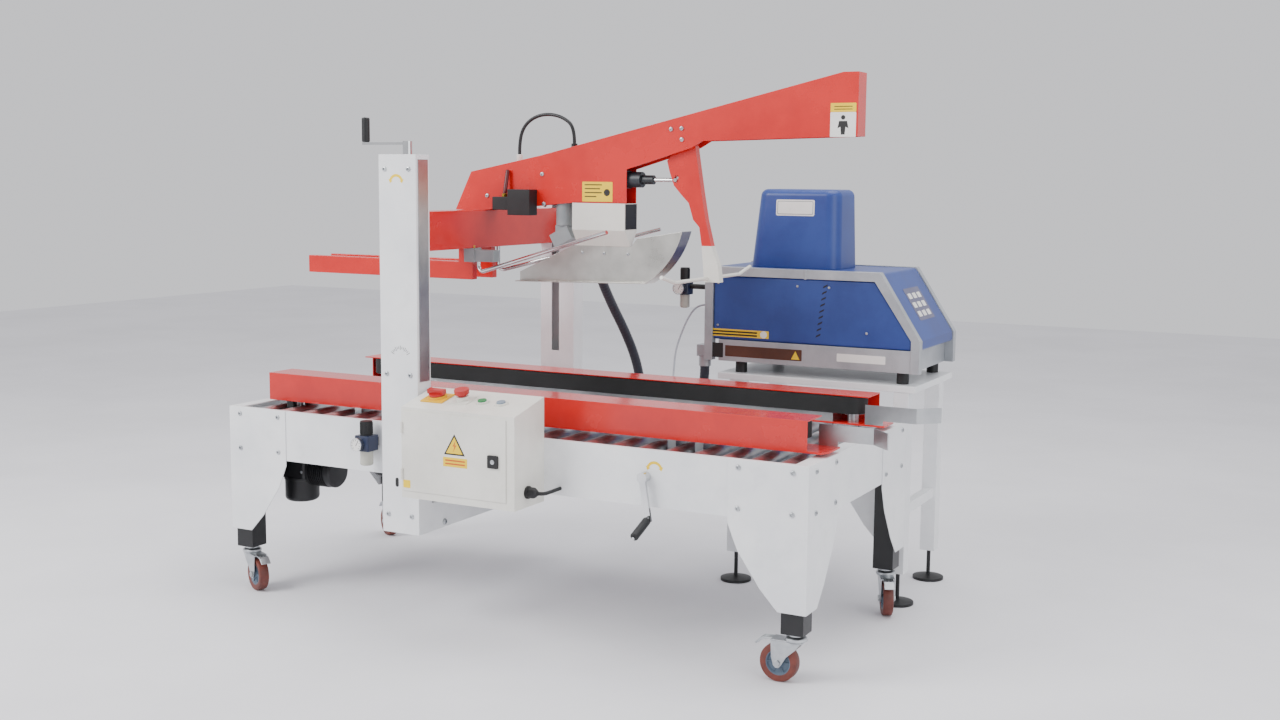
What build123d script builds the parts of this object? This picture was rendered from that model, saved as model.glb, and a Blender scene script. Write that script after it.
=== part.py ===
from build123d import *
from math import atan2, cos, degrees, hypot, radians, sin, tan
import os

# Carton sealer with side belts, a flap-folding head and a hot-melt unit on its own stand.
# Millimetres. X runs along the cartons' travel, towards the end where they go in.
# Y runs across the machine, away from the operator. Z is up from the floor.

# ---- driving dimensions: bed ----
BED_L = 1850.0          # overall length of the bed
BED_W = 786.0           # overall width over the leg brackets
BED_H = 560.0           # height of the bed's top edge
SHEET = 3.0             # sheet steel of panels, brackets and columns
PANEL_H = 148.0         # height of the side and end panels
LEG_LEAF = 215.0        # width of each leaf of a corner bracket
LEG_LOW_Z = 187.0       # lower edge of the corner brackets
LEG_FOOT = 76.0         # width of a bracket's leaf at its lower edge
LEG_TUBE = 60.0         # square leg tube
LEG_INSET = 40.0        # leg tube's axis from the bed's ends and sides
CASTER_H = 130.0        # floor to the lower end of the leg tube
WHEEL_R = 50.0
WHEEL_W = 30.0
TRAIL = 42.0            # caster axle behind its swivel axis
ROLLER_R = 25.0
ROLLER_PITCH = 80.0
ROLLER_DROP = 5.0       # roller tops below the bed's top edge

# ---- driving dimensions: belt rails ----
BELT_GAP = 356.0        # between the two belts, as set now
RAIL_D = 105.0          # depth of a rail across the machine
RAIL_LIFT = 10.0        # rail's base plate above the bed's top edge
RAIL_H = 82.0           # base plate's underside to the cover's top
RAIL_OUT_END = 60.0     # cover's end from the bed's end, where cartons leave
RAIL_IN_END = 50.0      # cover's end from the bed's end, where cartons enter
PULLEY_R = 37.0
BELT_T = 3.0
BELT_H = 47.0
SHAFT_R = 12.5          # cross shafts that the rails slide on
SCREW_R = 8.0           # width screw

# ---- driving dimensions: columns and head ----
COL_X = -251.5          # column's middle, from the bed's middle
COL_W = 123.0
COL_D = 60.0
COL_LOW_Z = 264.0
COL_TOP_Z = 1305.0
SLOT_W = 28.0
LIFT_SCREW_R = 10.0
BEAM_W = 80.0
BEAM_H = 110.0
BEAM_TOP_Z = 1150.0     # cross beam's top, as set now
ARM_W = 61.0            # width of the folded top arm
SHOE_LOW_Z = 945.0      # underside of the folding shoe, as set now
KICK_R = 104.0          # kicker's pivot to its rod pin, at rest

# ---- driving dimensions: control box and glue unit ----
BOX_W = 357.0
BOX_D = 146.0
BOX_LOW_Z = 391.0
BOX_FRONT_Z = 637.0     # top of the front face
BOX_BACK_Z = 672.0      # top of the back face
STAND_L = 627.0
STAND_W = 386.0
STAND_H = 655.0
UNIT_L = 686.0
UNIT_W = 383.0
HOSE_D = 30.0
TUBE_D = 6.0
CABLE_D = 10.0

# ---- named clearances ----
RUN = 0.05              # radial clearance of a running fit
SEAT = 0.3              # gap at a seat between pieces that move on each other

PIVOT = Vector(405, 0, 1340)  # kicker's pivot in the top arm


# ---- shapes used by many pieces ----
def block(x0, x1, y0, y1, z0, z1):
    return Pos((x0 + x1) / 2, (y0 + y1) / 2, (z0 + z1) / 2) * Box(abs(x1 - x0), abs(y1 - y0), abs(z1 - z0))


def rod(start, end, r):
    """A round bar from start to end."""
    start, end = Vector(*start), Vector(*end)
    length = (end - start).length
    return Plane(origin=start, z_dir=end - start) * Cylinder(r, length, align=(Align.CENTER, Align.CENTER, Align.MIN))


def prism(points, direction):
    """A flat outline of 3D points, carried along direction."""
    return Solid.extrude(Face(Wire.make_polygon([Vector(*p) for p in points], close=True)), Vector(*direction))


def curved_prism(edges, direction):
    return Solid.extrude(Face(Wire(edges)), Vector(*direction))


def side_outline(points, y0, y1):
    """An outline of (x, z) points, carried across the machine from y0 to y1."""
    return prism([(x, y0, z) for x, z in points], (0, y1 - y0, 0))


def mirrored(shape):
    """The same piece on the other side of the machine's middle plane."""
    return shape.mirror(Plane.XZ)


def round_upright(shape, r):
    return shape.fillet(r, shape.edges().filter_by(Axis.Z))


def bent_tube(points, r, name):
    """A tube along straight runs with one tangent arc at each point between them."""
    pts = [Vector(*p) for p in points]
    radii = []
    for a, b, c in zip(pts, pts[1:], pts[2:]):
        half_turn = radians((b - a).get_angle(c - b)) / 2
        radii.append(0.45 * min((b - a).length, (c - b).length) / tan(half_turn))
    path = FilletPolyline(*pts, radius=radii)
    tube = sweep(Plane(origin=path @ 0, z_dir=path % 0) * Circle(r), path=path)
    print(name, "radii", [round(v) for v in radii], "length", round(path.length, 1),
          "volume ratio", round(tube.volume / (3.14159265 * r * r * path.length), 4))
    return tube


parts = {}
cord_parts = set()


def keep(name, *solids):
    parts[name] = Compound([s for shape in solids for s in shape.solids()])


# ---- places worked out from the driving dimensions ----
END_X = BED_L / 2
SIDE_Y = BED_W / 2 - SHEET            # outer face of the side panels
PANEL_LOW = BED_H - PANEL_H
ROLLER_Z = BED_H - ROLLER_DROP - ROLLER_R
HALF_ROLLERS = int((END_X - ROLLER_R - 2 * SHEET) // ROLLER_PITCH)
LAST_GAP = (HALF_ROLLERS - 1) * ROLLER_PITCH
SLIDE_GAP = (HALF_ROLLERS - 4) * ROLLER_PITCH
SCREW_GAP = (HALF_ROLLERS - 5) * ROLLER_PITCH
POST_W = ROLLER_PITCH - 2 * ROLLER_R - 6
SLIDE_Z = ROLLER_Z - ROLLER_R - 35
SCREW_Z = ROLLER_Z - ROLLER_R - 15
LEG_X, LEG_Y = END_X - LEG_INSET, BED_W / 2 - LEG_INSET


# ---- bed: panels, corner brackets, leg tubes, rollers ----
def side_panel():
    top_lip, low_lip = 12.0, LEG_INSET - LEG_TUBE / 2 - SHEET - 1
    web = block(-END_X + SHEET, END_X - SHEET, -SIDE_Y, -SIDE_Y + SHEET, PANEL_LOW, BED_H)
    top = block(-END_X + SHEET, END_X - SHEET, -SIDE_Y, -SIDE_Y + top_lip, BED_H - SHEET, BED_H)
    low = block(-END_X + SHEET, END_X - SHEET, -SIDE_Y, -SIDE_Y + low_lip, PANEL_LOW, PANEL_LOW + SHEET)
    return web + top + low


def end_panel(sign):
    lip = 38.0
    y = SIDE_Y - SHEET
    x0, x1 = sign * (END_X - SHEET), sign * (END_X - 2 * SHEET)
    web = block(x0, x1, -y, y, PANEL_LOW, BED_H - SHEET)
    top = block(x0, sign * (END_X - SHEET - lip), -y + 12, y - 12, BED_H - SHEET, BED_H)
    return web + top


def corner_bracket():
    """Two folded leaves, each tapering down to a narrow foot, at the near infeed corner."""
    def leaf(to3d, direction):
        outline = [(0, BED_H), (LEG_LEAF, BED_H), (LEG_LEAF, PANEL_LOW - 14), (LEG_LEAF - 28, LEG_LOW_Z + 143),
                   (LEG_FOOT + 48, LEG_LOW_Z + 52), (LEG_FOOT, LEG_LOW_Z), (0, LEG_LOW_Z)]
        return prism([to3d(u, z) for u, z in outline], direction)
    y = -BED_W / 2
    side = leaf(lambda u, z: (END_X - u, y, z), (0, SHEET, 0))
    end = leaf(lambda u, z: (END_X, y + u, z), (-SHEET, 0, 0))
    return side + end


def four_corners(shape):
    right = [shape, mirrored(shape)]
    return right + [s.mirror(Plane.YZ) for s in right]


def leg_tube():
    """Square tube with a plug in its lower end, bored for the caster's stem."""
    wall, plug = 3.0, 24.0
    half = LEG_TUBE / 2
    top = ROLLER_Z - ROLLER_R - 5
    tube = block(LEG_X - half, LEG_X + half, -LEG_Y - half, -LEG_Y + half, CASTER_H, top)
    inner = half - wall
    hollow = block(LEG_X - inner, LEG_X + inner, -LEG_Y - inner, -LEG_Y + inner, CASTER_H + plug, top)
    bore = rod((LEG_X, -LEG_Y, CASTER_H), (LEG_X, -LEG_Y, CASTER_H + plug), STEM_R + RUN)
    pad = block(LEG_X - 20, LEG_X + 20, -LEG_Y - half - 7 + SHEET, -LEG_Y - half, PANEL_LOW + 10, top - 20)
    return tube - hollow - bore + pad


STEM_R = 6.0


def roller(x):
    reach = SIDE_Y - SHEET
    tube = rod((x, -reach + 15, ROLLER_Z), (x, reach - 15, ROLLER_Z), ROLLER_R)
    tube -= rod((x, -reach + 25, ROLLER_Z), (x, reach - 25, ROLLER_Z), ROLLER_R - 2)
    return tube + rod((x, -reach, ROLLER_Z), (x, reach, ROLLER_Z), 6)


keep("bed_panels", side_panel(), mirrored(side_panel()), end_panel(1), end_panel(-1))
keep("leg_brackets", *four_corners(corner_bracket()))
keep("leg_tubes", *four_corners(leg_tube()))
keep("bed_rollers", *[roller((i + 0.5) * ROLLER_PITCH) for i in range(-HALF_ROLLERS, HALF_ROLLERS)])
keep("slide_shafts", *[rod((x, -SIDE_Y + SHEET, SLIDE_Z), (x, SIDE_Y - SHEET, SLIDE_Z), SHAFT_R)
                       for x in (-SLIDE_GAP, SLIDE_GAP)])


# ---- casters: one fork and one wheel for each leg, each turned as it stands ----
def caster_fork():
    """Swivel head, crown, two cheeks, axle, stem and brake pedal, trailing towards +X from the swivel axis."""
    cheek, inner = 3.0, WHEEL_W / 2 + 2.5
    crown_z = 2 * WHEEL_R + 7
    head = rod((0, 0, crown_z + 4), (0, 0, CASTER_H - SEAT), 28)
    crown = block(-26, TRAIL + 22, -inner - cheek, inner + cheek, crown_z, crown_z + 5)
    crown = round_upright(crown, 8)
    body = head + crown + rod((0, 0, CASTER_H - SEAT), (0, 0, CASTER_H + 18), STEM_R)
    outline = [(-20, crown_z + 2), (TRAIL + 16, crown_z + 2), (TRAIL + 15, WHEEL_R + 14), (TRAIL + 7, WHEEL_R - 11),
               (TRAIL - 7, WHEEL_R - 11), (TRAIL - 22, WHEEL_R + 16)]
    for side in (-1, 1):
        body += side_outline(outline, side * inner, side * (inner + cheek))
    body += rod((TRAIL, -inner - cheek - 4, WHEEL_R), (TRAIL, inner + cheek + 4, WHEEL_R), 6)
    pedal = [(TRAIL + 18, crown_z + 5), (TRAIL + 18, crown_z), (TRAIL + 44, crown_z - 3), (TRAIL + 60, crown_z - 18),
             (TRAIL + 64, crown_z - 15), (TRAIL + 47, crown_z + 3)]
    return body + side_outline(pedal, -14, 14)


def caster_wheel():
    tread = rod((TRAIL, -WHEEL_W / 2, WHEEL_R), (TRAIL, WHEEL_W / 2, WHEEL_R), WHEEL_R)
    tread = tread.fillet(4, tread.edges())
    return tread - rod((TRAIL, -WHEEL_W, WHEEL_R), (TRAIL, WHEEL_W, WHEEL_R), 6 + RUN)


CASTERS = {"front_right": (1, -1, 180), "front_left": (-1, -1, -25), "rear_left": (-1, 1, 150), "rear_right": (1, 1, -65)}
for place, (sx, sy, turn) in CASTERS.items():
    stand = Pos(sx * LEG_X, sy * LEG_Y, 0) * Rot(0, 0, turn)
    keep("caster_fork_" + place, stand * caster_fork())
    keep("caster_wheel_" + place, stand * caster_wheel())


# ---- belt rails: the near one is modelled, the far one is its mirror image ----
BELT_Y = -BELT_GAP / 2                       # near belt's carton face
OUTER_Y = BELT_Y - RAIL_D
PULLEY_Y = BELT_Y - BELT_T - SEAT - PULLEY_R
BASE_Z = BED_H + RAIL_LIFT
BASE_T = 5.0
COVER_TOP = BASE_Z + RAIL_H
BELT_Z = COVER_TOP - SHEET - 2 - BELT_H
RAIL_X0, RAIL_X1 = -END_X + RAIL_OUT_END, END_X - RAIL_IN_END
DRIVE_X = -LAST_GAP
IDLER_X = RAIL_X1 - PULLEY_R - 18
DRIVE_SHAFT_R = 8.0
GEARBOX_TOP = ROLLER_Z - ROLLER_R - 5
GEARBOX_HALF = 50.0
HANGER_Y = 40.0


def rail_cover():
    """Folded red cover over a red base plate with a pointed lead-in tip."""
    top = block(RAIL_X0, RAIL_X1, OUTER_Y, BELT_Y - 2, COVER_TOP - SHEET, COVER_TOP)
    side = block(RAIL_X0, RAIL_X1, OUTER_Y, OUTER_Y + SHEET, BASE_Z + BASE_T, COVER_TOP)
    end = block(RAIL_X0, RAIL_X0 + SHEET, OUTER_Y, BELT_Y - 40, BASE_Z + BASE_T, COVER_TOP)
    tip = RAIL_X1 + 50
    base = prism([(RAIL_X0, OUTER_Y, BASE_Z), (tip - 12, OUTER_Y, BASE_Z), (tip, OUTER_Y + 25, BASE_Z),
                  (tip, BELT_Y, BASE_Z), (RAIL_X0, BELT_Y, BASE_Z)], (0, 0, BASE_T))
    base -= rod((DRIVE_X, PULLEY_Y, BASE_Z - 1), (DRIVE_X, PULLEY_Y, BASE_Z + BASE_T + 1), DRIVE_SHAFT_R + 2)
    return top + side + end + base


def rail_beam():
    """Aluminium beam between the belt's two runs, with the idler's axle."""
    half = PULLEY_R - SEAT
    ends = PULLEY_R + 10
    beam = block(DRIVE_X + ends, IDLER_X - ends, PULLEY_Y - half, PULLEY_Y + half, BASE_Z + BASE_T, BELT_Z + BELT_H)
    axle = rod((IDLER_X, PULLEY_Y, BASE_Z + BASE_T), (IDLER_X, PULLEY_Y, COVER_TOP - SHEET), DRIVE_SHAFT_R)
    return [beam, axle]


def slide_block(x):
    """Block on a cross shaft, with its post up between two rollers."""
    half_x, half_y = 32.0, 35.0
    body = block(x - half_x, x + half_x, PULLEY_Y - half_y, PULLEY_Y + half_y, SLIDE_Z - 22, GEARBOX_TOP)
    post = block(x - POST_W / 2, x + POST_W / 2, PULLEY_Y - 25, PULLEY_Y + 25, GEARBOX_TOP, BASE_Z)
    bore = rod((x, PULLEY_Y - half_y - 1, SLIDE_Z), (x, PULLEY_Y + half_y + 1, SLIDE_Z), SHAFT_R + RUN)
    return body + post - bore


def screw_nut():
    nut = block(SCREW_GAP - POST_W / 2, SCREW_GAP + POST_W / 2, PULLEY_Y - 25, PULLEY_Y + 25, SCREW_Z - 14, BASE_Z)
    return nut - rod((SCREW_GAP, PULLEY_Y - 26, SCREW_Z), (SCREW_GAP, PULLEY_Y + 26, SCREW_Z), SCREW_R + RUN)


def guide_plate():
    """Bent stainless plate that leads the cartons in between the belts."""
    x0, bend, flare = IDLER_X + PULLEY_R + BELT_T + 8, RAIL_X1 + 140, 54.0
    z0, z1 = BASE_Z + 18, BASE_Z + 60
    line = [(x0, BELT_Y), (bend, BELT_Y), (bend + flare, BELT_Y - flare), (bend + flare - 2.1, BELT_Y - flare - 2.1),
            (bend - 1.2, BELT_Y - SHEET), (x0, BELT_Y - SHEET)]
    plate = prism([(x, y, z0) for x, y in line], (0, 0, z1 - z0))
    return plate + block(x0, RAIL_X1 + 45, BELT_Y - SHEET, BELT_Y, BASE_Z + BASE_T, z0)


def belt():
    """Flat endless belt round both pulleys."""
    def loop(r):
        slab = block(DRIVE_X, IDLER_X, PULLEY_Y - r, PULLEY_Y + r, BELT_Z, BELT_Z + BELT_H)
        for x in (DRIVE_X, IDLER_X):
            slab += rod((x, PULLEY_Y, BELT_Z), (x, PULLEY_Y, BELT_Z + BELT_H), r)
        return slab
    return loop(PULLEY_R + SEAT + BELT_T) - loop(PULLEY_R + SEAT)


def drive_pulley():
    pulley = rod((DRIVE_X, PULLEY_Y, BELT_Z - 1), (DRIVE_X, PULLEY_Y, BELT_Z + BELT_H), PULLEY_R)
    return pulley + rod((DRIVE_X, PULLEY_Y, GEARBOX_TOP + SEAT), (DRIVE_X, PULLEY_Y, BELT_Z), DRIVE_SHAFT_R)


def idler_pulley():
    low = BASE_Z + BASE_T + SEAT
    pulley = rod((IDLER_X, PULLEY_Y, BELT_Z - 1), (IDLER_X, PULLEY_Y, BELT_Z + BELT_H), PULLEY_R)
    hub = rod((IDLER_X, PULLEY_Y, low), (IDLER_X, PULLEY_Y, BELT_Z), 16)
    return pulley + hub - rod((IDLER_X, PULLEY_Y, low - 1), (IDLER_X, PULLEY_Y, COVER_TOP), DRIVE_SHAFT_R + RUN)


def gearmotor():
    """Reducer hung under the rail, a motor can at its side and a round cover below."""
    half, low = GEARBOX_HALF, GEARBOX_TOP - 170
    body = round_upright(block(DRIVE_X - half, DRIVE_X + half, PULLEY_Y - half, PULLEY_Y + half, low, GEARBOX_TOP), 10)
    can_z = low + 24
    can = rod((DRIVE_X + half - 5, PULLEY_Y, can_z), (DRIVE_X + half + 92, PULLEY_Y, can_z), 45)
    can = can.fillet(8, can.faces().sort_by(Axis.X)[-1].edges())
    bell = rod((DRIVE_X, PULLEY_Y, low - 75), (DRIVE_X, PULLEY_Y, low), 52)
    bell = bell.fillet(14, bell.faces().sort_by(Axis.Z)[0].edges())
    hangers = [block(DRIVE_X - POST_W / 2, DRIVE_X + POST_W / 2, y - 8, y + 8, GEARBOX_TOP, BASE_Z)
               for y in (PULLEY_Y - HANGER_Y, PULLEY_Y + HANGER_Y)]
    return body + can + bell + hangers[0] + hangers[1]


near_rail = {"rail_cover": [rail_cover()], "belt": [belt()], "gearmotor": [gearmotor()],
             "rail_beam": rail_beam() + [slide_block(-SLIDE_GAP), slide_block(SLIDE_GAP), screw_nut(), guide_plate()],
             "drive_pulley": [drive_pulley()], "idler_pulley": [idler_pulley()]}
for name, solids in near_rail.items():
    keep("near_" + name, *solids)
    keep("far_" + name, *[mirrored(s) for s in solids])


# ---- columns, cross member and lift screws ----
COL_X0, COL_X1 = COL_X - COL_W / 2, COL_X + COL_W / 2
COL_Y0 = -SIDE_Y - COL_D                     # near column's front face
SLOT_X = COL_X - 6.5
SCREW_X, SCREW_Y = COL_X + 13.5, -SIDE_Y - COL_D / 2


def column():
    """Folded channel with an inward slot, closed at its top and bottom."""
    shell = block(COL_X0, COL_X1, COL_Y0, -SIDE_Y, COL_LOW_Z, COL_TOP_Z)
    hollow = block(COL_X0 + SHEET, COL_X1 - SHEET, COL_Y0 + SHEET, -SIDE_Y - SHEET, COL_LOW_Z + SHEET, COL_TOP_Z - SHEET)
    slot = block(SLOT_X - SLOT_W / 2, SLOT_X + SLOT_W / 2, -SIDE_Y - SHEET, -SIDE_Y, BED_H + 130, COL_TOP_Z - 30)
    bores = rod((SCREW_X, SCREW_Y, COL_LOW_Z), (SCREW_X, SCREW_Y, COL_LOW_Z + SHEET), 6 + RUN)
    bores += rod((SCREW_X, SCREW_Y, COL_TOP_Z - SHEET), (SCREW_X, SCREW_Y, COL_TOP_Z), LIFT_SCREW_R + RUN)
    return shell - hollow - slot - bores


def cross_member():
    low, high = COL_LOW_Z, COL_LOW_Z + 80
    outer = block(COL_X0, COL_X1, -SIDE_Y, SIDE_Y, low, high)
    inner = block(COL_X0 + SHEET, COL_X1 - SHEET, -SIDE_Y + SHEET, SIDE_Y - SHEET, low + SHEET, high - SHEET)
    return outer - inner


def lift_screw():
    """Screw with a stepped lower journal in the column's floor plate."""
    body = rod((SCREW_X, SCREW_Y, COL_LOW_Z + SHEET + SEAT), (SCREW_X, SCREW_Y, COL_TOP_Z + SEAT), LIFT_SCREW_R)
    return body + rod((SCREW_X, SCREW_Y, COL_LOW_Z + 1), (SCREW_X, SCREW_Y, COL_LOW_Z + SHEET + SEAT), 6)


keep("columns", column(), mirrored(column()))
keep("cross_member", cross_member())
keep("far_lift_screw", mirrored(lift_screw() + rod((SCREW_X, SCREW_Y, COL_TOP_Z + SEAT),
                                                   (SCREW_X, SCREW_Y, COL_TOP_Z + 6), 13)))

# Crank on the near screw: hub, flat arm towards the outfeed end, upright pin with its grip.
CRANK_REACH = 140.0
GRIP_R, PIN_R = 11.0, 4.0
hub_top = COL_TOP_Z + 36
crank_pin_x = SCREW_X - CRANK_REACH
lift_crank = lift_screw() + rod((SCREW_X, SCREW_Y, COL_TOP_Z + SEAT), (SCREW_X, SCREW_Y, hub_top), 13)
lift_crank += block(crank_pin_x - 8, SCREW_X, SCREW_Y - 7, SCREW_Y + 7, hub_top - 10, hub_top - 3)
lift_crank += rod((crank_pin_x, SCREW_Y, hub_top - 4), (crank_pin_x, SCREW_Y, hub_top + 66), PIN_R)
keep("lift_crank", lift_crank)
lift_grip = rod((crank_pin_x, SCREW_Y, hub_top - 3 + SEAT), (crank_pin_x, SCREW_Y, hub_top + 64), GRIP_R)
lift_grip = lift_grip.fillet(4, lift_grip.edges())
keep("lift_grip", lift_grip - rod((crank_pin_x, SCREW_Y, hub_top - 4), (crank_pin_x, SCREW_Y, hub_top + 70), PIN_R + RUN))

# Crank on the width screw: hub outside the near panel, arm hanging, grip turned a little down.
WIDTH_ARM = 103.0
LEAN = 20.0                                   # arm's lean towards the infeed end
width_y = -SIDE_Y - 26
arm_end = Vector(SCREW_GAP + LEAN, width_y + 4, SCREW_Z - WIDTH_ARM)
grip_dir = Vector(0, -cos(radians(22)), -sin(radians(22)))
width_crank = rod((SCREW_GAP, -SIDE_Y + SHEET + 10, SCREW_Z), (SCREW_GAP, SIDE_Y - SHEET - 10, SCREW_Z), SCREW_R)
width_crank += rod((SCREW_GAP, -SIDE_Y + SHEET + 10, SCREW_Z), (SCREW_GAP, -SIDE_Y - SEAT, SCREW_Z), SCREW_R - 1)
width_crank += rod((SCREW_GAP, -SIDE_Y - SEAT, SCREW_Z), (SCREW_GAP, width_y, SCREW_Z), 14)
width_crank += prism([(SCREW_GAP - 9, width_y, SCREW_Z), (SCREW_GAP + 9, width_y, SCREW_Z),
                      (SCREW_GAP + LEAN + 8, width_y, SCREW_Z - WIDTH_ARM - 8),
                      (SCREW_GAP + LEAN - 8, width_y, SCREW_Z - WIDTH_ARM - 8)], (0, 8, 0))
width_crank += rod(arm_end, arm_end + grip_dir * 92, PIN_R)
keep("width_crank", width_crank)
grip_start = arm_end + grip_dir * 9
width_grip = rod(grip_start, grip_start + grip_dir * 78, GRIP_R)
width_grip = width_grip.fillet(4, width_grip.edges())
keep("width_grip", width_grip - rod(arm_end, arm_end + grip_dir * 95, PIN_R + RUN))


def bore_panels_for_screw(node):
    """Clearance holes for the width screw through both side panels."""
    hole = rod((SCREW_GAP, -SIDE_Y - 1, SCREW_Z), (SCREW_GAP, SIDE_Y + 1, SCREW_Z), SCREW_R + RUN)
    parts[node] = Compound([s for whole in parts[node].solids() for s in (whole - hole).solids()])


bore_panels_for_screw("bed_panels")


# ---- head: carriages, beam, top arm and what it carries ----
BEAM_X0, BEAM_X1 = COL_X - 73.5, COL_X - 73.5 + BEAM_W
BEAM_LOW = BEAM_TOP_Z - BEAM_H
BEAM_Y = SIDE_Y - 2


def carriage():
    """Block in the near column, bored for the screw, with a neck through the slot to the beam."""
    gap = 0.5
    body = block(COL_X0 + SHEET + gap, COL_X1 - SHEET - gap, COL_Y0 + SHEET + gap, -SIDE_Y - SHEET - gap,
                 BEAM_LOW - 30, BEAM_TOP_Z)
    neck = block(SLOT_X - 10, SLOT_X + 10, -SIDE_Y - SHEET - gap, -BEAM_Y, BEAM_LOW + 10, BEAM_TOP_Z - 10)
    return body + neck - rod((SCREW_X, SCREW_Y, BEAM_LOW - 40), (SCREW_X, SCREW_Y, BEAM_TOP_Z + 10), LIFT_SCREW_R + RUN)


beam = block(BEAM_X0, BEAM_X1, -BEAM_Y, BEAM_Y, BEAM_LOW, BEAM_TOP_Z)
beam -= block(BEAM_X0 + 4, BEAM_X1 - 4, -BEAM_Y + 4, BEAM_Y - 4, BEAM_LOW + 4, BEAM_TOP_Z - 4)
keep("head_carriages", carriage(), mirrored(carriage()))
keep("cross_beam", beam)

# Top arm: sheet folded to an inverted channel, rising towards the infeed end.
HALF_ARM = ARM_W / 2
SHROUD_X0, SHROUD_X1 = 53.0, 223.0
ARM_SEAT_Z = BEAM_TOP_Z + 26                  # arm's lower edge over the shroud


def arm_outline(inset):
    t = inset
    return [(-353 + 2 * t, BEAM_TOP_Z - t), (-297 + t, BEAM_TOP_Z + 112 - t), (-59, BEAM_TOP_Z + 159 - t),
            (855, BEAM_TOP_Z + 374 - t), (897 - t, BEAM_TOP_Z + 374 - t), (897 - t, BEAM_TOP_Z + 210 - t),
            (457, BEAM_TOP_Z + 199 - t), (425, BEAM_TOP_Z + 181 - t), (SHROUD_X1 + 1, BEAM_TOP_Z + 121 - t),
            (SHROUD_X1 + 1, ARM_SEAT_Z - t), (SHROUD_X0, ARM_SEAT_Z - t), (BEAM_X1 - 4, BEAM_TOP_Z - t)]


PIVOT_R = 8.0
top_arm = side_outline(arm_outline(0), -HALF_ARM, HALF_ARM)
top_arm -= side_outline(arm_outline(SHEET), -HALF_ARM + SHEET, HALF_ARM - SHEET)
top_arm -= rod((PIVOT.X, -HALF_ARM - 1, PIVOT.Z), (PIVOT.X, HALF_ARM + 1, PIVOT.Z), PIVOT_R + RUN)
keep("top_arm", top_arm)

# Shroud under the arm: hollow, with a V-shaped underside.
SHROUD_HALF = 37.0
V_TOP, V_LOW = ARM_SEAT_Z - 76, ARM_SEAT_Z - 122


def shroud_section(inset):
    h = SHROUD_HALF - inset
    flat, lift = 5 - 0.3 * inset, inset * 1.1
    return [(-h, ARM_SEAT_Z), (-h, V_TOP), (-flat, V_LOW + lift), (flat, V_LOW + lift), (h, V_TOP), (h, ARM_SEAT_Z)]


shroud = prism([(SHROUD_X0, y, z) for y, z in shroud_section(0)], (SHROUD_X1 - SHROUD_X0, 0, 0))
shroud -= prism([(SHROUD_X0 + 2, y, z) for y, z in shroud_section(2)], (SHROUD_X1 - SHROUD_X0 - 4, 0, 0))
keep("glue_shroud", shroud)

# Folding shoe: a curved ski under an upright plate bolted to the shroud.
SKI_T, SKI_HALF = 3.0, 30.0
ski_low = [Vector(-145, 0, SHOE_LOW_Z - 2), Vector(285, 0, SHOE_LOW_Z + 8), Vector(362, 0, SHOE_LOW_Z + 78),
           Vector(399, 0, SHOE_LOW_Z + 157)]
ski_high = [Vector(-145, 0, SHOE_LOW_Z + 1), Vector(284, 0, SHOE_LOW_Z + 11), Vector(359.6, 0, SHOE_LOW_Z + 79.8),
            Vector(396, 0, SHOE_LOW_Z + 157.5)]
shift = Vector(0, -SKI_HALF, 0)
low, high = [p + shift for p in ski_low], [p + shift for p in ski_high]
ski = curved_prism([Edge.make_line(low[0], low[1]), Edge.make_three_point_arc(low[1], low[2], low[3]),
                    Edge.make_line(low[3], high[3]), Edge.make_three_point_arc(high[3], high[2], high[1]),
                    Edge.make_line(high[1], high[0]), Edge.make_line(high[0], low[0])], (0, 2 * SKI_HALF, 0))
web_t = 4.0
high = [p + Vector(0, -web_t / 2, 0) for p in ski_high]
web_top = [Vector(399 - 8, -web_t / 2, SHOE_LOW_Z + 157), Vector(243, -web_t / 2, SHOE_LOW_Z + 132),
           Vector(SHROUD_X1 + 1, -web_t / 2, V_LOW), Vector(SHROUD_X0 - 15, -web_t / 2, V_LOW),
           Vector(-145, -web_t / 2, SHOE_LOW_Z + 26)]
web = curved_prism([Edge.make_line(high[0], high[1]), Edge.make_three_point_arc(high[1], high[2], high[3]),
                    Edge.make_line(high[3], web_top[0])] +
                   [Edge.make_line(a, b) for a, b in zip(web_top, web_top[1:])] +
                   [Edge.make_line(web_top[-1], high[0])], (0, web_t, 0))
keep("fold_shoe", ski, web)

# Glue gun: an upright module hung inside the arm, with a tilted cuff for the heated hose.
GUN_X = 6.0
gun_top = BEAM_TOP_Z + 50
gun = rod((GUN_X, 0, BEAM_TOP_Z - 40), (GUN_X, 0, gun_top), 24)
gun += block(GUN_X - 30, GUN_X + 30, -HALF_ARM + SHEET, HALF_ARM - SHEET, gun_top, gun_top + 12)
cuff = Pos(GUN_X, 0, BEAM_TOP_Z - 72) * Rot(0, -28, 0) * Box(64, 46, 40)
cuff += block(GUN_X - 20, GUN_X + 20, -18, 18, BEAM_TOP_Z - 72, BEAM_TOP_Z - 40)
cuff += rod((GUN_X, 20, BEAM_TOP_Z - 72), (GUN_X, 46, BEAM_TOP_Z - 72), 20)
keep("glue_gun", gun, cuff)
HOSE_START = Vector(GUN_X, 46, BEAM_TOP_Z - 72)

# Hold-down rails towards the outfeed end, hung from the beam.
HOLD_Y, HOLD_W = 53.0, 25.0
HOLD_TOP, HOLD_LOW = BEAM_LOW - 42, BEAM_LOW - 95


def hold_down():
    rail = block(-END_X + 37, BEAM_X0 + 55, -HOLD_Y - HOLD_W / 2, -HOLD_Y + HOLD_W / 2, HOLD_LOW, HOLD_TOP)
    hanger = block(BEAM_X0 + 5, BEAM_X0 + 50, -HOLD_Y - HOLD_W / 2, -HOLD_Y + HOLD_W / 2, HOLD_TOP, BEAM_LOW)
    return rail + hanger


keep("hold_down_rails", hold_down(), mirrored(hold_down()))

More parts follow.
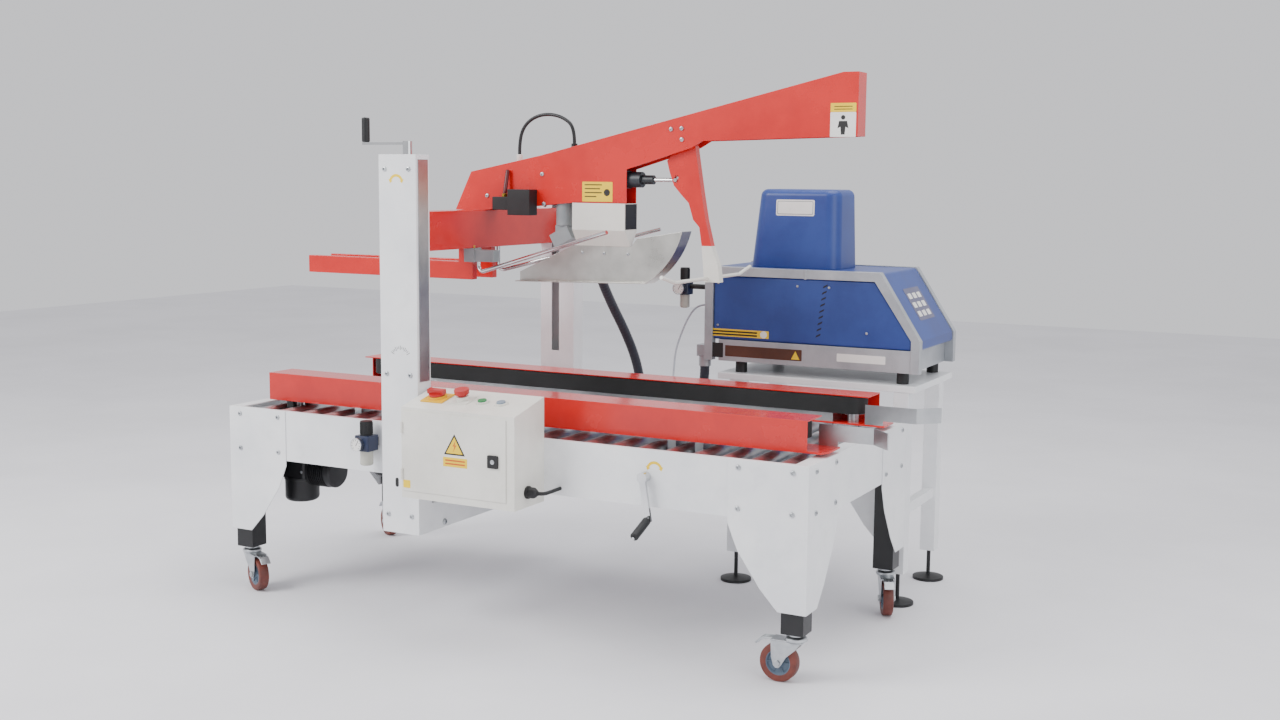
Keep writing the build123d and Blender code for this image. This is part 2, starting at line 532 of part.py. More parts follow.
# Flap rods: round bars that plough the side flaps down, flaring towards the infeed end.
FLAP_R = 6.0
flap_x = BEAM_X1 - 12
flap_points = [(flap_x, -HOLD_Y, BEAM_LOW), (flap_x, -HOLD_Y, HOLD_LOW + 20), (235, -163, BEAM_TOP_Z - 50)]
flap_path = FilletPolyline(*flap_points, radius=18)
flap_rod = sweep(Plane(origin=flap_path @ 0, z_dir=flap_path % 0) * Circle(FLAP_R), path=flap_path)
keep("flap_rods", flap_rod, mirrored(flap_rod))

# Air valves: one at the arm's near face, one under the beam; cable glands on the arm's top.
CABLE_FEET = (Vector(-147, 0, BEAM_TOP_Z + 141), Vector(38, 0, BEAM_TOP_Z + 182))
upper = block(-143, -68, -HALF_ARM - 44, -HALF_ARM, BEAM_TOP_Z - 12, BEAM_TOP_Z + 62)
upper += block(-200, -143, -HALF_ARM - 36, -HALF_ARM - 4, BEAM_TOP_Z + 2, BEAM_TOP_Z + 40)
lower = block(BEAM_X1 - 24, BEAM_X1 + 12, -112, -72, BEAM_LOW - 40, BEAM_LOW)
lower += block(BEAM_X1 + 12, BEAM_X1 + 76, -108, -76, BEAM_LOW - 38, BEAM_LOW - 4)
glands = [rod(foot, foot + Vector(0, 0, h), 9) for foot, h in zip(CABLE_FEET, (22, 12))]
gland_cut = side_outline(arm_outline(0), -HALF_ARM, HALF_ARM)
keep("air_valves", upper, lower, *[g - gland_cut for g in glands])

# ---- kicker: cylinder in the arm, rod, lever, blade with its cross bar ----
pin_drop = KICK_R * cos(radians(20.9))
PIN = Vector(PIVOT.X - KICK_R * sin(radians(20.9)), 0, PIVOT.Z - pin_drop)
CYL_R, ROD_R, EYE_PIN_R = 22.0, 6.0, 5.0
cyl_x0, cyl_x1 = PIN.X - 285, PIN.X - 108
cylinder = rod((cyl_x0, 0, PIN.Z), (cyl_x1, 0, PIN.Z), CYL_R)
cylinder += rod((cyl_x1, 0, PIN.Z), (cyl_x1 + 36, 0, PIN.Z), 13)
mount_x = SHROUD_X1 - 12
cylinder += block(mount_x - 10, mount_x, -HALF_ARM + SHEET, HALF_ARM - SHEET, PIN.Z - 25, PIN.Z + 25)
cylinder -= rod((cyl_x0 + 8, 0, PIN.Z), (cyl_x1 + 40, 0, PIN.Z), ROD_R + RUN)
keep("kicker_cylinder", cylinder)
piston_rod = rod((cyl_x0 + 30, 0, PIN.Z), (PIN.X - 6, 0, PIN.Z), ROD_R)
piston_rod += rod((PIN.X, -5, PIN.Z), (PIN.X, 5, PIN.Z), 10)
piston_rod += rod((PIN.X, -16, PIN.Z), (PIN.X, 16, PIN.Z), EYE_PIN_R)
keep("kicker_rod", piston_rod)

LEVER_HALF, LEVER_T = 12.0, 3.0
lever_outline = [(PIVOT.X - 20, PIVOT.Z + 18), (PIVOT.X + 20, PIVOT.Z + 18), (PIVOT.X + 24, PIVOT.Z - 20),
                 (447, 1210), (461, 1134), (479, 1064), (450, 1064), (442, 1115), (423, 1135), (409, 1180),
                 (384, 1205), (363, 1228), (349, 1266), (341, 1296), (PIVOT.X - 30, PIVOT.Z - 10)]
kick_z = PIVOT.Z - 1340
lever_outline = [(x, z if z > PIVOT.Z - 30 else z + kick_z) for x, z in lever_outline]
lever = side_outline(lever_outline, -LEVER_HALF, LEVER_HALF)
pocket = [(PIN.X - 40, PIN.Z - 75), (PIN.X - 70, PIN.Z + 45), (PIN.X + 52, PIN.Z + 68), (PIN.X + 60, PIN.Z - 40)]
lever -= side_outline(pocket, -LEVER_HALF + LEVER_T, LEVER_HALF - LEVER_T)
slot_dir = (PIN - PIVOT).normalized()
for reach in (KICK_R - 8.5, KICK_R - 4, KICK_R + 1):
    centre = PIVOT + slot_dir * reach
    lever -= rod(centre + Vector(0, -20, 0), centre + Vector(0, 20, 0), EYE_PIN_R + 1)
lever += rod((PIVOT.X, -HALF_ARM, PIVOT.Z), (PIVOT.X, HALF_ARM, PIVOT.Z), PIVOT_R)
keep("kicker_arm", lever)
blade_top = 1064 + kick_z
blade = side_outline([(450, blade_top), (479, blade_top), (500, blade_top - 53), (506, blade_top - 99),
                      (459, blade_top - 99)], -LEVER_HALF, LEVER_HALF)
BAR_R = 5.0
bar_z = blade_top - 89
bar_path = FilletPolyline((466, -288, bar_z + 18), (466, -210, bar_z), (466, 210, bar_z), (466, 288, bar_z + 18), radius=30)
bar = sweep(Plane(origin=bar_path @ 0, z_dir=bar_path % 0) * Circle(BAR_R), path=bar_path)
blade -= rod((466, -20, bar_z), (466, 20, bar_z), BAR_R + RUN)
keep("kicker_blade", blade, bar)

# ---- control box on the near panel, beside the column ----
BOX_X0 = COL_X1 + 8
BOX_X1 = BOX_X0 + BOX_W
BOX_Y1, BOX_Y0 = -SIDE_Y, -SIDE_Y - BOX_D
WALL = 2.0
DOOR_T = 3.0
DOOR = (BOX_X0 + 5, BOX_X0 + 332, BOX_LOW_Z + 20, BOX_FRONT_Z - 10)   # left, right, low, high


def box_section(t):
    return [(BOX_Y0 + t, BOX_LOW_Z + t), (BOX_Y1 - t, BOX_LOW_Z + t), (BOX_Y1 - t, BOX_BACK_Z - 1.05 * t),
            (BOX_Y0 + t, BOX_FRONT_Z - 1.05 * t)]


control_box = prism([(BOX_X0, y, z) for y, z in box_section(0)], (BOX_W, 0, 0))
control_box -= prism([(BOX_X0 + WALL, y, z) for y, z in box_section(WALL)], (BOX_W - 2 * WALL, 0, 0))
control_box -= block(DOOR[0] + 6, DOOR[1] - 6, BOX_Y0, BOX_Y0 + WALL, DOOR[2] + 6, DOOR[3] - 6)
TOP_SLOPE = degrees(atan2(BOX_BACK_Z - BOX_FRONT_Z, BOX_D))
top_mid = Vector(0, (BOX_Y0 + BOX_Y1) / 2, (BOX_FRONT_Z + BOX_BACK_Z) / 2)


def on_top(x):
    """Place on the sloped top, with its local Z square to it."""
    return Pos(x, top_mid.Y, top_mid.Z) * Rot(TOP_SLOPE, 0, 0)


SWITCH_X, ESTOP_X, START_X, STOP_X = BOX_X0 + 67, BOX_X0 + 149, BOX_X0 + 211, BOX_X0 + 270


def disc(r, z0, z1):
    return Pos(0, 0, (z0 + z1) / 2) * Cylinder(r, z1 - z0)


switch_plate = on_top(SWITCH_X) * (Pos(0, 0, 2) * Box(70, 64, 4) + disc(26, 4, 10))
estop_ring = on_top(ESTOP_X) * (Pos(0, 0, 1.5) * Box(54, 54, 3) + disc(17, 3, 14) - disc(11.3, -1, 15))
rings = [on_top(x) * (disc(17, 0, 5) - disc(12.3, -1, 6)) for x in (START_X, STOP_X)]
holes = on_top(ESTOP_X) * disc(11.3, -8, 6)
for x in (START_X, STOP_X):
    holes += on_top(x) * disc(12.3, -8, 6)
control_box -= holes
# The enclosure is cut along its folds into one plate for each wall, with a frame of four strips round the door.
fold_lines = [block(BOX_X0, BOX_X1, BOX_Y0, BOX_Y1, BOX_LOW_Z, BOX_LOW_Z + WALL),
              block(BOX_X0, BOX_X1, BOX_Y1 - WALL, BOX_Y1, BOX_LOW_Z, BOX_BACK_Z),
              block(BOX_X0, BOX_X0 + WALL, BOX_Y0, BOX_Y1, BOX_LOW_Z, BOX_BACK_Z),
              block(BOX_X1 - WALL, BOX_X1, BOX_Y0, BOX_Y1, BOX_LOW_Z, BOX_BACK_Z),
              block(BOX_X0, DOOR[0] + 6, BOX_Y0, BOX_Y0 + WALL, BOX_LOW_Z, BOX_BACK_Z),
              block(DOOR[1] - 6, BOX_X1, BOX_Y0, BOX_Y0 + WALL, BOX_LOW_Z, BOX_BACK_Z),
              block(BOX_X0, BOX_X1, BOX_Y0, BOX_Y0 + WALL, BOX_LOW_Z, DOOR[2] + 6),
              block(BOX_X0, BOX_X1, BOX_Y0, BOX_Y0 + WALL, DOOR[3] - 6, BOX_BACK_Z)]
walls = []
for fold in fold_lines:
    walls.append(control_box & fold)
    control_box -= fold
keep("control_box", *walls, control_box, switch_plate, estop_ring, *rings)
handle = disc(22, 10 + SEAT, 16) + Pos(0, 0, 21) * Box(52, 15, 12)
keep("main_switch", on_top(SWITCH_X) * handle)
keep("estop_button", on_top(ESTOP_X) * (disc(11, -6, 21) + disc(20, 21, 33)))
for name, x in (("start_button", START_X), ("stop_button", STOP_X)):
    keep(name, on_top(x) * disc(12, -6, 8))
HINGE = Vector(DOOR[0] - 1, BOX_Y0 - 5, 0)
door = block(DOOR[0], DOOR[1], BOX_Y0 - DOOR_T, BOX_Y0, DOOR[2], DOOR[3])
for z in (DOOR[2] + 30, DOOR[3] - 60):
    door += rod((HINGE.X, HINGE.Y, z), (HINGE.X, HINGE.Y, z + 30), 3.5)
lock_x, lock_z = DOOR[1] - 38, BOX_LOW_Z + 125
door += block(lock_x - 16, lock_x + 16, BOX_Y0 - DOOR_T - 6, BOX_Y0 - DOOR_T, lock_z - 17, lock_z + 17)
keep("box_door", door)

# ---- fittings: cable gland with its elbow, and the air regulator on the near panel ----
gland_y, gland_z = BOX_Y0 + 62, BOX_LOW_Z + 40
fittings = [rod((BOX_X1, gland_y, gland_z), (BOX_X1 + 22, gland_y, gland_z), 14)]
elbow_path = FilletPolyline((BOX_X1 + 22, gland_y, gland_z), (BOX_X1 + 50, gland_y, gland_z),
                            (BOX_X1 + 50, -SIDE_Y, gland_z), radius=16)
fittings.append(sweep(Plane(origin=elbow_path @ 0, z_dir=elbow_path % 0) * Circle(5), path=elbow_path))


def regulator(x, y, z, r):
    """Filter regulator: knob, body, gauge and bowl on one axis; z is the body's middle."""
    body = round_upright(block(x - r, x + r, y - r, y + r, z - 22, z + 22), 4)
    knob = rod((x, y, z + 22), (x, y, z + 62), 0.72 * r)
    bowl = rod((x, y, z - 64), (x, y, z - 22), 0.78 * r)
    bowl = bowl.fillet(6, bowl.faces().sort_by(Axis.Z)[0].edges())
    gauge = rod((x - 0.4 * r, y - r - 12, z - 2), (x - 0.4 * r, y - r, z - 2), 19)
    return [body, knob, bowl, gauge]


REG_X, REG_Z, REG_R = COL_X0 - 73, BED_H - 57, 24.0
fittings += regulator(REG_X, -SIDE_Y - 36, REG_Z, REG_R)
fittings.append(block(REG_X - 14, REG_X + 14, -SIDE_Y - 36 + REG_R, -SIDE_Y, REG_Z - 12, REG_Z + 12))

# ---- hot-melt unit on its stand, behind the bed ----
STAND_X0, STAND_Y0 = 310.0, BED_W / 2 + 22
STAND_X1, STAND_Y1 = STAND_X0 + STAND_L, STAND_Y0 + STAND_W
TOP_T, STAND_TUBE = 19.0, 46.0
leg_xs, leg_ys = (STAND_X0 + 62, STAND_X1 - 42), (STAND_Y0 + 26, STAND_Y1 - 44)


def stand_leg(x, y):
    h = STAND_TUBE / 2
    return block(x - h, x + h, y - h, y + h, 95, STAND_H - TOP_T)


def stand_foot(x, y):
    foot = Pos(x, y, 0) * Cylinder(48, 9, align=(Align.CENTER, Align.CENTER, Align.MIN))
    cone = Pos(x, y, 9) * Cone(48, 12, 7, align=(Align.CENTER, Align.CENTER, Align.MIN))
    return foot + cone + rod((x, y, 14), (x, y, 95), 6)


stand = [block(STAND_X0, STAND_X1, STAND_Y0, STAND_Y1, STAND_H - TOP_T, STAND_H)]
stand += [stand_leg(x, y) for x in leg_xs for y in leg_ys]
stand += [block(x - 14, x + 14, leg_ys[0] + STAND_TUBE / 2, leg_ys[1] - STAND_TUBE / 2, 266, 296) for x in leg_xs]
keep("glue_stand", *stand, *[stand_foot(x, y) for x in leg_xs for y in leg_ys])

UNIT_X0, UNIT_Y0 = STAND_X0 - 53, STAND_Y0 + 12
UNIT_X1, UNIT_Y1 = UNIT_X0 + UNIT_L, UNIT_Y0 + UNIT_W
UNIT_LOW = STAND_H + 35
BAND_Z = UNIT_LOW + 66                        # top of the grey base band
UNIT_TOP = STAND_H + 325
SLOPE_X = UNIT_X1 - 125                       # where the top turns down to the control panel
SLOPE_Z = UNIT_TOP - 195
FRAME_W = 27.0


def unit_profile(t):
    return [(UNIT_X0 + t, BAND_Z), (UNIT_X0 + t, UNIT_TOP - t), (SLOPE_X - 0.6 * t, UNIT_TOP - t),
            (UNIT_X1 - t, SLOPE_Z), (UNIT_X1 - t, BAND_Z)]


def side_frame(y0, y1):
    """Bent silver tube round one side of the unit."""
    outer = side_outline([(UNIT_X0, UNIT_LOW)] + unit_profile(0)[1:4] + [(UNIT_X1, UNIT_LOW)], y0, y1)
    inner = side_outline([(UNIT_X0 + FRAME_W, UNIT_LOW - 1)] + unit_profile(FRAME_W)[1:4]
                         + [(UNIT_X1 - FRAME_W, UNIT_LOW - 1)], y0, y1)
    return outer - inner


TANK = (UNIT_X0 + 128, UNIT_X0 + 360, UNIT_Y0 + 126, UNIT_Y0 + 286)  # x0, x1, y0, y1 of the glue tank
base = block(UNIT_X0 + FRAME_W + 20, UNIT_X1 - FRAME_W, UNIT_Y0 + 4, UNIT_Y1 - 4, UNIT_LOW, BAND_Z)
base_feet = [rod((x, y, STAND_H), (x, y, UNIT_LOW), 18)
             for x in (UNIT_X0 + 110, UNIT_X1 - 60) for y in (UNIT_Y0 + 40, UNIT_Y1 - 40)]
INLET = Vector(UNIT_X0 - 12, UNIT_Y0 + 34, UNIT_LOW + 22)
elbow = rod(INLET + Vector(0, 0, -46), INLET, 19) + block(INLET.X - 20, UNIT_X0 + FRAME_W + 20, INLET.Y - 20, INLET.Y + 20,
                                                          INLET.Z - 14, INLET.Z + 22)
elbow -= side_frame(UNIT_Y0, UNIT_Y0 + FRAME_W)
frames = [side_frame(UNIT_Y0, UNIT_Y0 + FRAME_W), side_frame(UNIT_Y1 - FRAME_W, UNIT_Y1)]
base -= frames[0] + frames[1]
elbow = max(elbow.solids(), key=lambda s: s.volume)
keep("glue_base", base, *base_feet, *frames, elbow)

body = side_outline([(x, z) for x, z in unit_profile(FRAME_W)], UNIT_Y0 + 6, UNIT_Y1 - 6)
crown = side_outline([(x, z) for x, z in unit_profile(3)], UNIT_Y0 + FRAME_W, UNIT_Y1 - FRAME_W)
body = body + crown
inside = unit_profile(FRAME_W + 4)
inside = [(inside[0][0], BAND_Z + 4)] + inside[1:4] + [(inside[4][0], BAND_Z + 4)]
body -= side_outline(inside, UNIT_Y0 + FRAME_W, UNIT_Y1 - FRAME_W)
body -= block(TANK[0], TANK[1], TANK[2], TANK[3], BAND_Z + 20, UNIT_TOP)
keep("glue_body", body)

HOOD_X0, HOOD_X1 = UNIT_X0 + 98, UNIT_X0 + 390
HOOD_Y0, HOOD_Y1 = UNIT_Y0 + 107, UNIT_Y0 + 305
HOOD_LOW, HOOD_H = UNIT_TOP - 3 + SEAT, 240.0


def hood(t):
    """Tapered hood with rounded upright edges."""
    low = Plane.XY.offset(HOOD_LOW) * Pos((HOOD_X0 + HOOD_X1) / 2, (HOOD_Y0 + HOOD_Y1) / 2) * RectangleRounded(
        HOOD_X1 - HOOD_X0 - 2 * t, HOOD_Y1 - HOOD_Y0 - 2 * t, 40 - t)
    high = Plane.XY.offset(HOOD_LOW + HOOD_H - t) * Pos((HOOD_X0 + HOOD_X1) / 2 + 9, (HOOD_Y0 + HOOD_Y1) / 2) * \
        RectangleRounded(HOOD_X1 - HOOD_X0 - 30 - 2 * t, HOOD_Y1 - HOOD_Y0 - 20 - 2 * t, 40 - t)
    return loft([low, high])


lid = hood(0)
lid = lid.fillet(22, lid.faces().sort_by(Axis.Z)[-1].edges())
lid -= hood(8)
LID_HINGE = Vector(0, HOOD_Y1 + 7, HOOD_LOW + 7)
for x in (HOOD_X0 + 70, HOOD_X1 - 110):
    lid += block(x, x + 40, HOOD_Y1 - 3, HOOD_Y1 + 7, HOOD_LOW + 1, HOOD_LOW + 13)
    lid += rod((x, LID_HINGE.Y, LID_HINGE.Z), (x + 40, LID_HINGE.Y, LID_HINGE.Z), 6)
keep("glue_lid", lid)

# Air regulator beside the unit, on a pipe from its end.
AIR_X, AIR_Y, AIR_Z = UNIT_X0 - 78, UNIT_Y0 + 20, UNIT_TOP - 70
air = regulator(AIR_X, AIR_Y, AIR_Z, 20)
air.append(rod((AIR_X + 20, AIR_Y, AIR_Z + 4), (UNIT_X0, AIR_Y, AIR_Z + 4), 8))
TUBE_START = Vector(UNIT_X0, UNIT_Y0 + 30, UNIT_TOP - 122)
TUBE_END = Vector(UNIT_X0 - 97, SIDE_Y + 14, BED_H + 2)
tube_seat = TUBE_END - Vector(0, 0, 18)
air.append(rod((TUBE_END.X, SIDE_Y, tube_seat.Z), tube_seat + Vector(0, 6, 0), 8) + rod(tube_seat, TUBE_END, 6))
keep("fittings", *fittings, *air)

# ---- machine screws that show on the brackets, the column and the arm ----
screws = []
for x in (-END_X + 42, -END_X + 187, END_X - 187, END_X - 42):
    for z in (BED_H - 20, BED_H - 124):
        screws += [rod((x, s * BED_W / 2, z), (x, s * (BED_W / 2 + 4), z), 7) for s in (-1, 1)]
for y in (-BED_W / 2 + 50, -BED_W / 2 + 189, BED_W / 2 - 189, BED_W / 2 - 50):
    for z in (BED_H - 20, BED_H - 124):
        screws += [rod((s * END_X, y, z), (s * (END_X + 4), y, z), 7) for s in (-1, 1)]
for x in (COL_X0 + 20, COL_X1 - 24):
    for z in (COL_TOP_Z - 39, COL_LOW_Z + 444, COL_LOW_Z + 51):
        screws += [rod((x, s * (SIDE_Y + COL_D), z), (x, s * (SIDE_Y + COL_D + 4), z), 7) for s in (-1, 1)]
keep("machine_screws", *screws)

# ---- hose, tube and cable ----
hose_route = [HOSE_START, (6, 120, 1078), (-4, 192, 1020), (-16, 258, 938), (-14, 328, 852), (0, 385, 770),
              (18, 428, 678), (30, 447, 580), (93, 455, 515), (182, INLET.Y, 514),
              INLET + Vector(0, 0, -135), INLET + Vector(0, 0, -46)]
tube_route = [TUBE_START, TUBE_START + Vector(-33, 0, 0), (192, UNIT_Y0 + 28, UNIT_TOP - 156),
              (168, UNIT_Y0 + 23, UNIT_TOP - 212), (152, UNIT_Y0 + 12, UNIT_TOP - 272),
              (157, UNIT_Y0 - 8, UNIT_TOP - 335), TUBE_END + Vector(0, 0, 38), TUBE_END]
foot_a, foot_b = CABLE_FEET[0] + Vector(0, 0, 22), CABLE_FEET[1] + Vector(0, 0, 12)
cable_route = [foot_a, foot_a + Vector(0, 0, 43), (-130, 0, BEAM_TOP_Z + 247), (-93, 0, BEAM_TOP_Z + 272),
               (-46, 0, BEAM_TOP_Z + 279), (2, 0, BEAM_TOP_Z + 268), foot_b + Vector(0, 0, 46), foot_b]
for name, route, diameter in (("heated_hose", hose_route, HOSE_D), ("air_tube", tube_route, TUBE_D),
                              ("arm_cable", cable_route, CABLE_D)):
    keep(name, bent_tube(route, diameter / 2, name))
    cord_parts.add(name)

# ---- place the origin under the middle of the machine and write the files ----
boxes = [shape.bounding_box() for name, shape in parts.items() if name not in cord_parts]
low_x, high_x = min(b.min.X for b in boxes), max(b.max.X for b in boxes)
low_y, high_y = min(b.min.Y for b in boxes), max(b.max.Y for b in boxes)
centre = Vector((low_x + high_x) / 2, (low_y + high_y) / 2, min(b.min.Z for b in boxes))
print("origin from the bed's middle", centre, "nodes", len(parts))
os.makedirs("parts", exist_ok=True)
for name, shape in parts.items():
    export_step(shape.moved(Location(-centre)), f"parts/{name}.step")
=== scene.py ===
from math import cos, radians, sin, tau

import bmesh
import bpy
from mathutils import Matrix, Vector
from mathutils.bvhtree import BVHTree


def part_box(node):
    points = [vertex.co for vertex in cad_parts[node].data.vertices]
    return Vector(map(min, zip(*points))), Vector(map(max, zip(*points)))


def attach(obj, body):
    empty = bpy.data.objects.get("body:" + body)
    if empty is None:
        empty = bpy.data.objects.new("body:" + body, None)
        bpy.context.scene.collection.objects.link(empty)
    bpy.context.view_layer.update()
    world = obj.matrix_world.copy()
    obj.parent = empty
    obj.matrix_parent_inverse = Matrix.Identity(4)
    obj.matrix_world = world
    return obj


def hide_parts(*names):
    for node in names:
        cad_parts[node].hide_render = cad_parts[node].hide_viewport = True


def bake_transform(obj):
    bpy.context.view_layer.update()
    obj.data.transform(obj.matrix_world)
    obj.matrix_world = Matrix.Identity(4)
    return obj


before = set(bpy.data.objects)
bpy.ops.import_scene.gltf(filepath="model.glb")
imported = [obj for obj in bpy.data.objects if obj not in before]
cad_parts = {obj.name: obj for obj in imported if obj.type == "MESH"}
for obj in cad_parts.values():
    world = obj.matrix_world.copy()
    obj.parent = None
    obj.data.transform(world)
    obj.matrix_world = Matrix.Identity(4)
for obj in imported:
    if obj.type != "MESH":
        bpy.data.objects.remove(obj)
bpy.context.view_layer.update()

# The view. Places are given in millimetres from the middle of the bed, on the floor:
# x along the cartons' travel, y away from the operator, z up.
bed_low, bed_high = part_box("bed_panels")
MIDDLE = Vector(((bed_low.x + bed_high.x) / 2, (bed_low.y + bed_high.y) / 2, 0))


def at(x, y, z):
    """A place on the machine, from millimetres to the frame's metres."""
    return MIDDLE + Vector((x, y, z)) / 1000


def span(node):
    """x0, x1, y0, y1, z0, z1 of a CAD node in millimetres."""
    low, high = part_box(node)
    a, b = (low - MIDDLE) * 1000, (high - MIDDLE) * 1000
    return a.x, b.x, a.y, b.y, a.z, b.z


yaw, pitch, roll = radians(-27.557), radians(-7.153), radians(0.527)
look = Vector((sin(yaw) * cos(pitch), cos(yaw) * cos(pitch), sin(pitch)))
level = look.cross(Vector((0, 0, 1))).normalized()
upward = level.cross(look)
right_axis = level * cos(roll) + upward * sin(roll)
up_axis = upward * cos(roll) - level * sin(roll)
camera = bpy.data.objects.new("camera", bpy.data.cameras.new("camera"))
camera.data.lens, camera.data.sensor_width, camera.data.clip_end = 41.01, 36, 60
camera.matrix_world = Matrix.Translation(at(2160.8, -3650.1, 1250.5)) @ \
    Matrix((right_axis, up_axis, -look)).transposed().to_4x4()
bpy.context.collection.objects.link(camera)
bpy.context.scene.camera = camera


# Cords. The heated hose is a rubber-lined pressure hose in a woven polyester sleeve, held at each end by a
# crimped cuff; the arm's cable is PVC in two plastic glands, and the air line is polyurethane tube.
def linear(code):
    """An sRGB hex colour as the linear values that a shader takes."""
    parts = [int(code[i:i + 2], 16) / 255 for i in (1, 3, 5)]
    return tuple(c / 12.92 if c <= 0.04045 else ((c + 0.055) / 1.055) ** 2.4 for c in parts) + (1.0,)


def add(tree, kind, inputs=None, **settings):
    """One node with its settings; an input is given a value or a link."""
    made = tree.nodes.new(kind)
    for key, value in settings.items():
        setattr(made, key, value)
    for key, value in (inputs or {}).items():
        if isinstance(value, bpy.types.NodeSocket):
            tree.links.new(value, made.inputs[key])
        else:
            made.inputs[key].default_value = value
    return made


def finish(name, dark, light, rough, grain=3.0, depth=0.03, patch=160.0, swing=0.07, stretch=(1, 1, 1), metal=0.0,
           coat=0.0, coat_rough=0.12, soil=0.0, ior=1.5):
    """A surface with fine grain and faint patches of tone and gloss. grain, depth and patch are in millimetres;
    stretch draws the grain out, for brushing; soil darkens the patches' edges, for handling and dust."""
    made = bpy.data.materials.new(name)
    made.use_nodes = True
    tree = made.node_tree
    tree.nodes.clear()
    place = add(tree, "ShaderNodeTexCoord").outputs["Object"]
    drawn = add(tree, "ShaderNodeMapping", {"Vector": place, "Scale": stretch})
    fine = add(tree, "ShaderNodeTexNoise", {"Vector": drawn.outputs[0], "Scale": 1000 / grain, "Detail": 3.0})
    broad = add(tree, "ShaderNodeTexNoise", {"Vector": place, "Scale": 1000 / patch, "Detail": 5.0, "Roughness": 0.62})
    tone = add(tree, "ShaderNodeMapRange", {"Value": broad.outputs["Fac"], "From Min": 0.36, "From Max": 0.62})
    mix = add(tree, "ShaderNodeMix", {0: tone.outputs[0], 6: linear(dark), 7: linear(light)}, data_type="RGBA")
    surface = mix.outputs[2]
    if soil:
        worn = add(tree, "ShaderNodeTexNoise", {"Vector": place, "Scale": 1000 / (patch * 0.3), "Detail": 8.0,
                                                "Roughness": 0.7})
        amount = add(tree, "ShaderNodeMapRange", {"Value": worn.outputs["Fac"], "From Min": 0.56, "From Max": 0.78,
                                                  "To Max": soil})
        dirty = add(tree, "ShaderNodeMix", {0: amount.outputs[0], 6: surface, 7: linear("#3B3733")}, data_type="RGBA")
        surface = dirty.outputs[2]
    gloss = add(tree, "ShaderNodeMapRange", {"Value": broad.outputs["Fac"], "From Min": 0.3, "From Max": 0.7,
                                             "To Min": rough - swing / 2, "To Max": rough + swing / 2})
    bump = add(tree, "ShaderNodeBump", {"Height": fine.outputs["Fac"], "Strength": 0.6, "Distance": depth / 1000})
    shader = add(tree, "ShaderNodeBsdfPrincipled", {"Base Color": surface, "Roughness": gloss.outputs[0],
                                                    "Normal": bump.outputs[0], "Metallic": metal, "IOR": ior,
                                                    "Coat Weight": coat, "Coat Roughness": coat_rough})
    add(tree, "ShaderNodeOutputMaterial", {"Surface": shader.outputs[0]})
    return made


def shape(name, body, solid, material, bevel=0.0, sharp=32, replaces=()):
    """A piece from a mesh in millimetres: cleaned, shaded, its edges eased by bevel millimetres, riding on its body."""
    bmesh.ops.remove_doubles(solid, verts=solid.verts, dist=0.001)
    bmesh.ops.recalc_face_normals(solid, faces=solid.faces)
    bmesh.ops.transform(solid, matrix=Matrix.Translation(MIDDLE) @ Matrix.Scale(0.001, 4), verts=solid.verts)
    for face in solid.faces:
        face.smooth = True
    for edge in solid.edges:
        edge.smooth = len(edge.link_faces) == 2 and edge.calc_face_angle(0) < radians(sharp)
    mesh = bpy.data.meshes.new(name)
    solid.to_mesh(mesh)
    solid.free()
    mesh.materials.append(material)
    made = bpy.data.objects.new(name, mesh)
    bpy.context.collection.objects.link(made)
    if bevel:
        eased = made.modifiers.new("eased edges", "BEVEL")
        eased.width, eased.segments, eased.angle_limit = bevel / 1000, 2, radians(40)
        eased.limit_method, eased.harden_normals, eased.use_clamp_overlap = "ANGLE", True, True
    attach(made, body)
    if replaces:
        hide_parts(*replaces)
    return made


def turn(solid, start, direction, profile, sides=32):
    """A turned shape: profile is a row of (radius, distance along the axis), with radius 0 at a closed end."""
    start, axis = Vector(start), Vector(direction).normalized()
    across = axis.orthogonal().normalized()
    other = axis.cross(across)
    rings = []
    for radius, along in profile:
        middle = start + axis * along
        if radius < 1e-6:
            rings.append([solid.verts.new(middle)])
        else:
            rings.append([solid.verts.new(middle + (across * cos(tau * i / sides) + other * sin(tau * i / sides))
                                          * radius) for i in range(sides)])
    for a, b in zip(rings, rings[1:]):
        for i in range(max(len(a), len(b))):
            j = (i + 1) % max(len(a), len(b))
            if len(a) == 1:
                solid.faces.new((a[0], b[i], b[j]))
            elif len(b) == 1:
                solid.faces.new((a[i], b[0], a[j]))
            else:
                solid.faces.new((a[i], b[i], b[j], a[j]))
    return solid


def route_curve(name, points, diameter=0.0):
    """A smooth line with the route's points as its control points, thick if it is given a diameter."""
    data = bpy.data.curves.new(name, "CURVE")
    data.dimensions, data.resolution_u = "3D", 14
    data.bevel_depth, data.bevel_resolution, data.use_fill_caps = diameter / 2000, 6, True
    line = data.splines.new("NURBS")
    line.points.add(len(points) - 1)
    for point, place in zip(line.points, points):
        point.co = (*at(*place), 1)
    line.order_u, line.use_endpoint_u = 3, True
    made = bpy.data.objects.new(name, data)
    bpy.context.collection.objects.link(made)
    return made


hose_points = [(6, 46, 1078), (6, 120, 1078), (-4, 192, 1020), (-16, 258, 938), (-14, 328, 852), (0, 385, 770),
               (18, 428, 678), (30, 447, 580), (93, 455, 515), (182, 461, 514), (245, 461, 577), (245, 461, 666)]
line = route_curve("hose_line", hose_points)
read = bpy.data.meshes.new_from_object(line.evaluated_get(bpy.context.evaluated_depsgraph_get()))
hose_line = [v.co.copy() for v in read.vertices]
bpy.data.objects.remove(line)
bpy.data.meshes.remove(read)


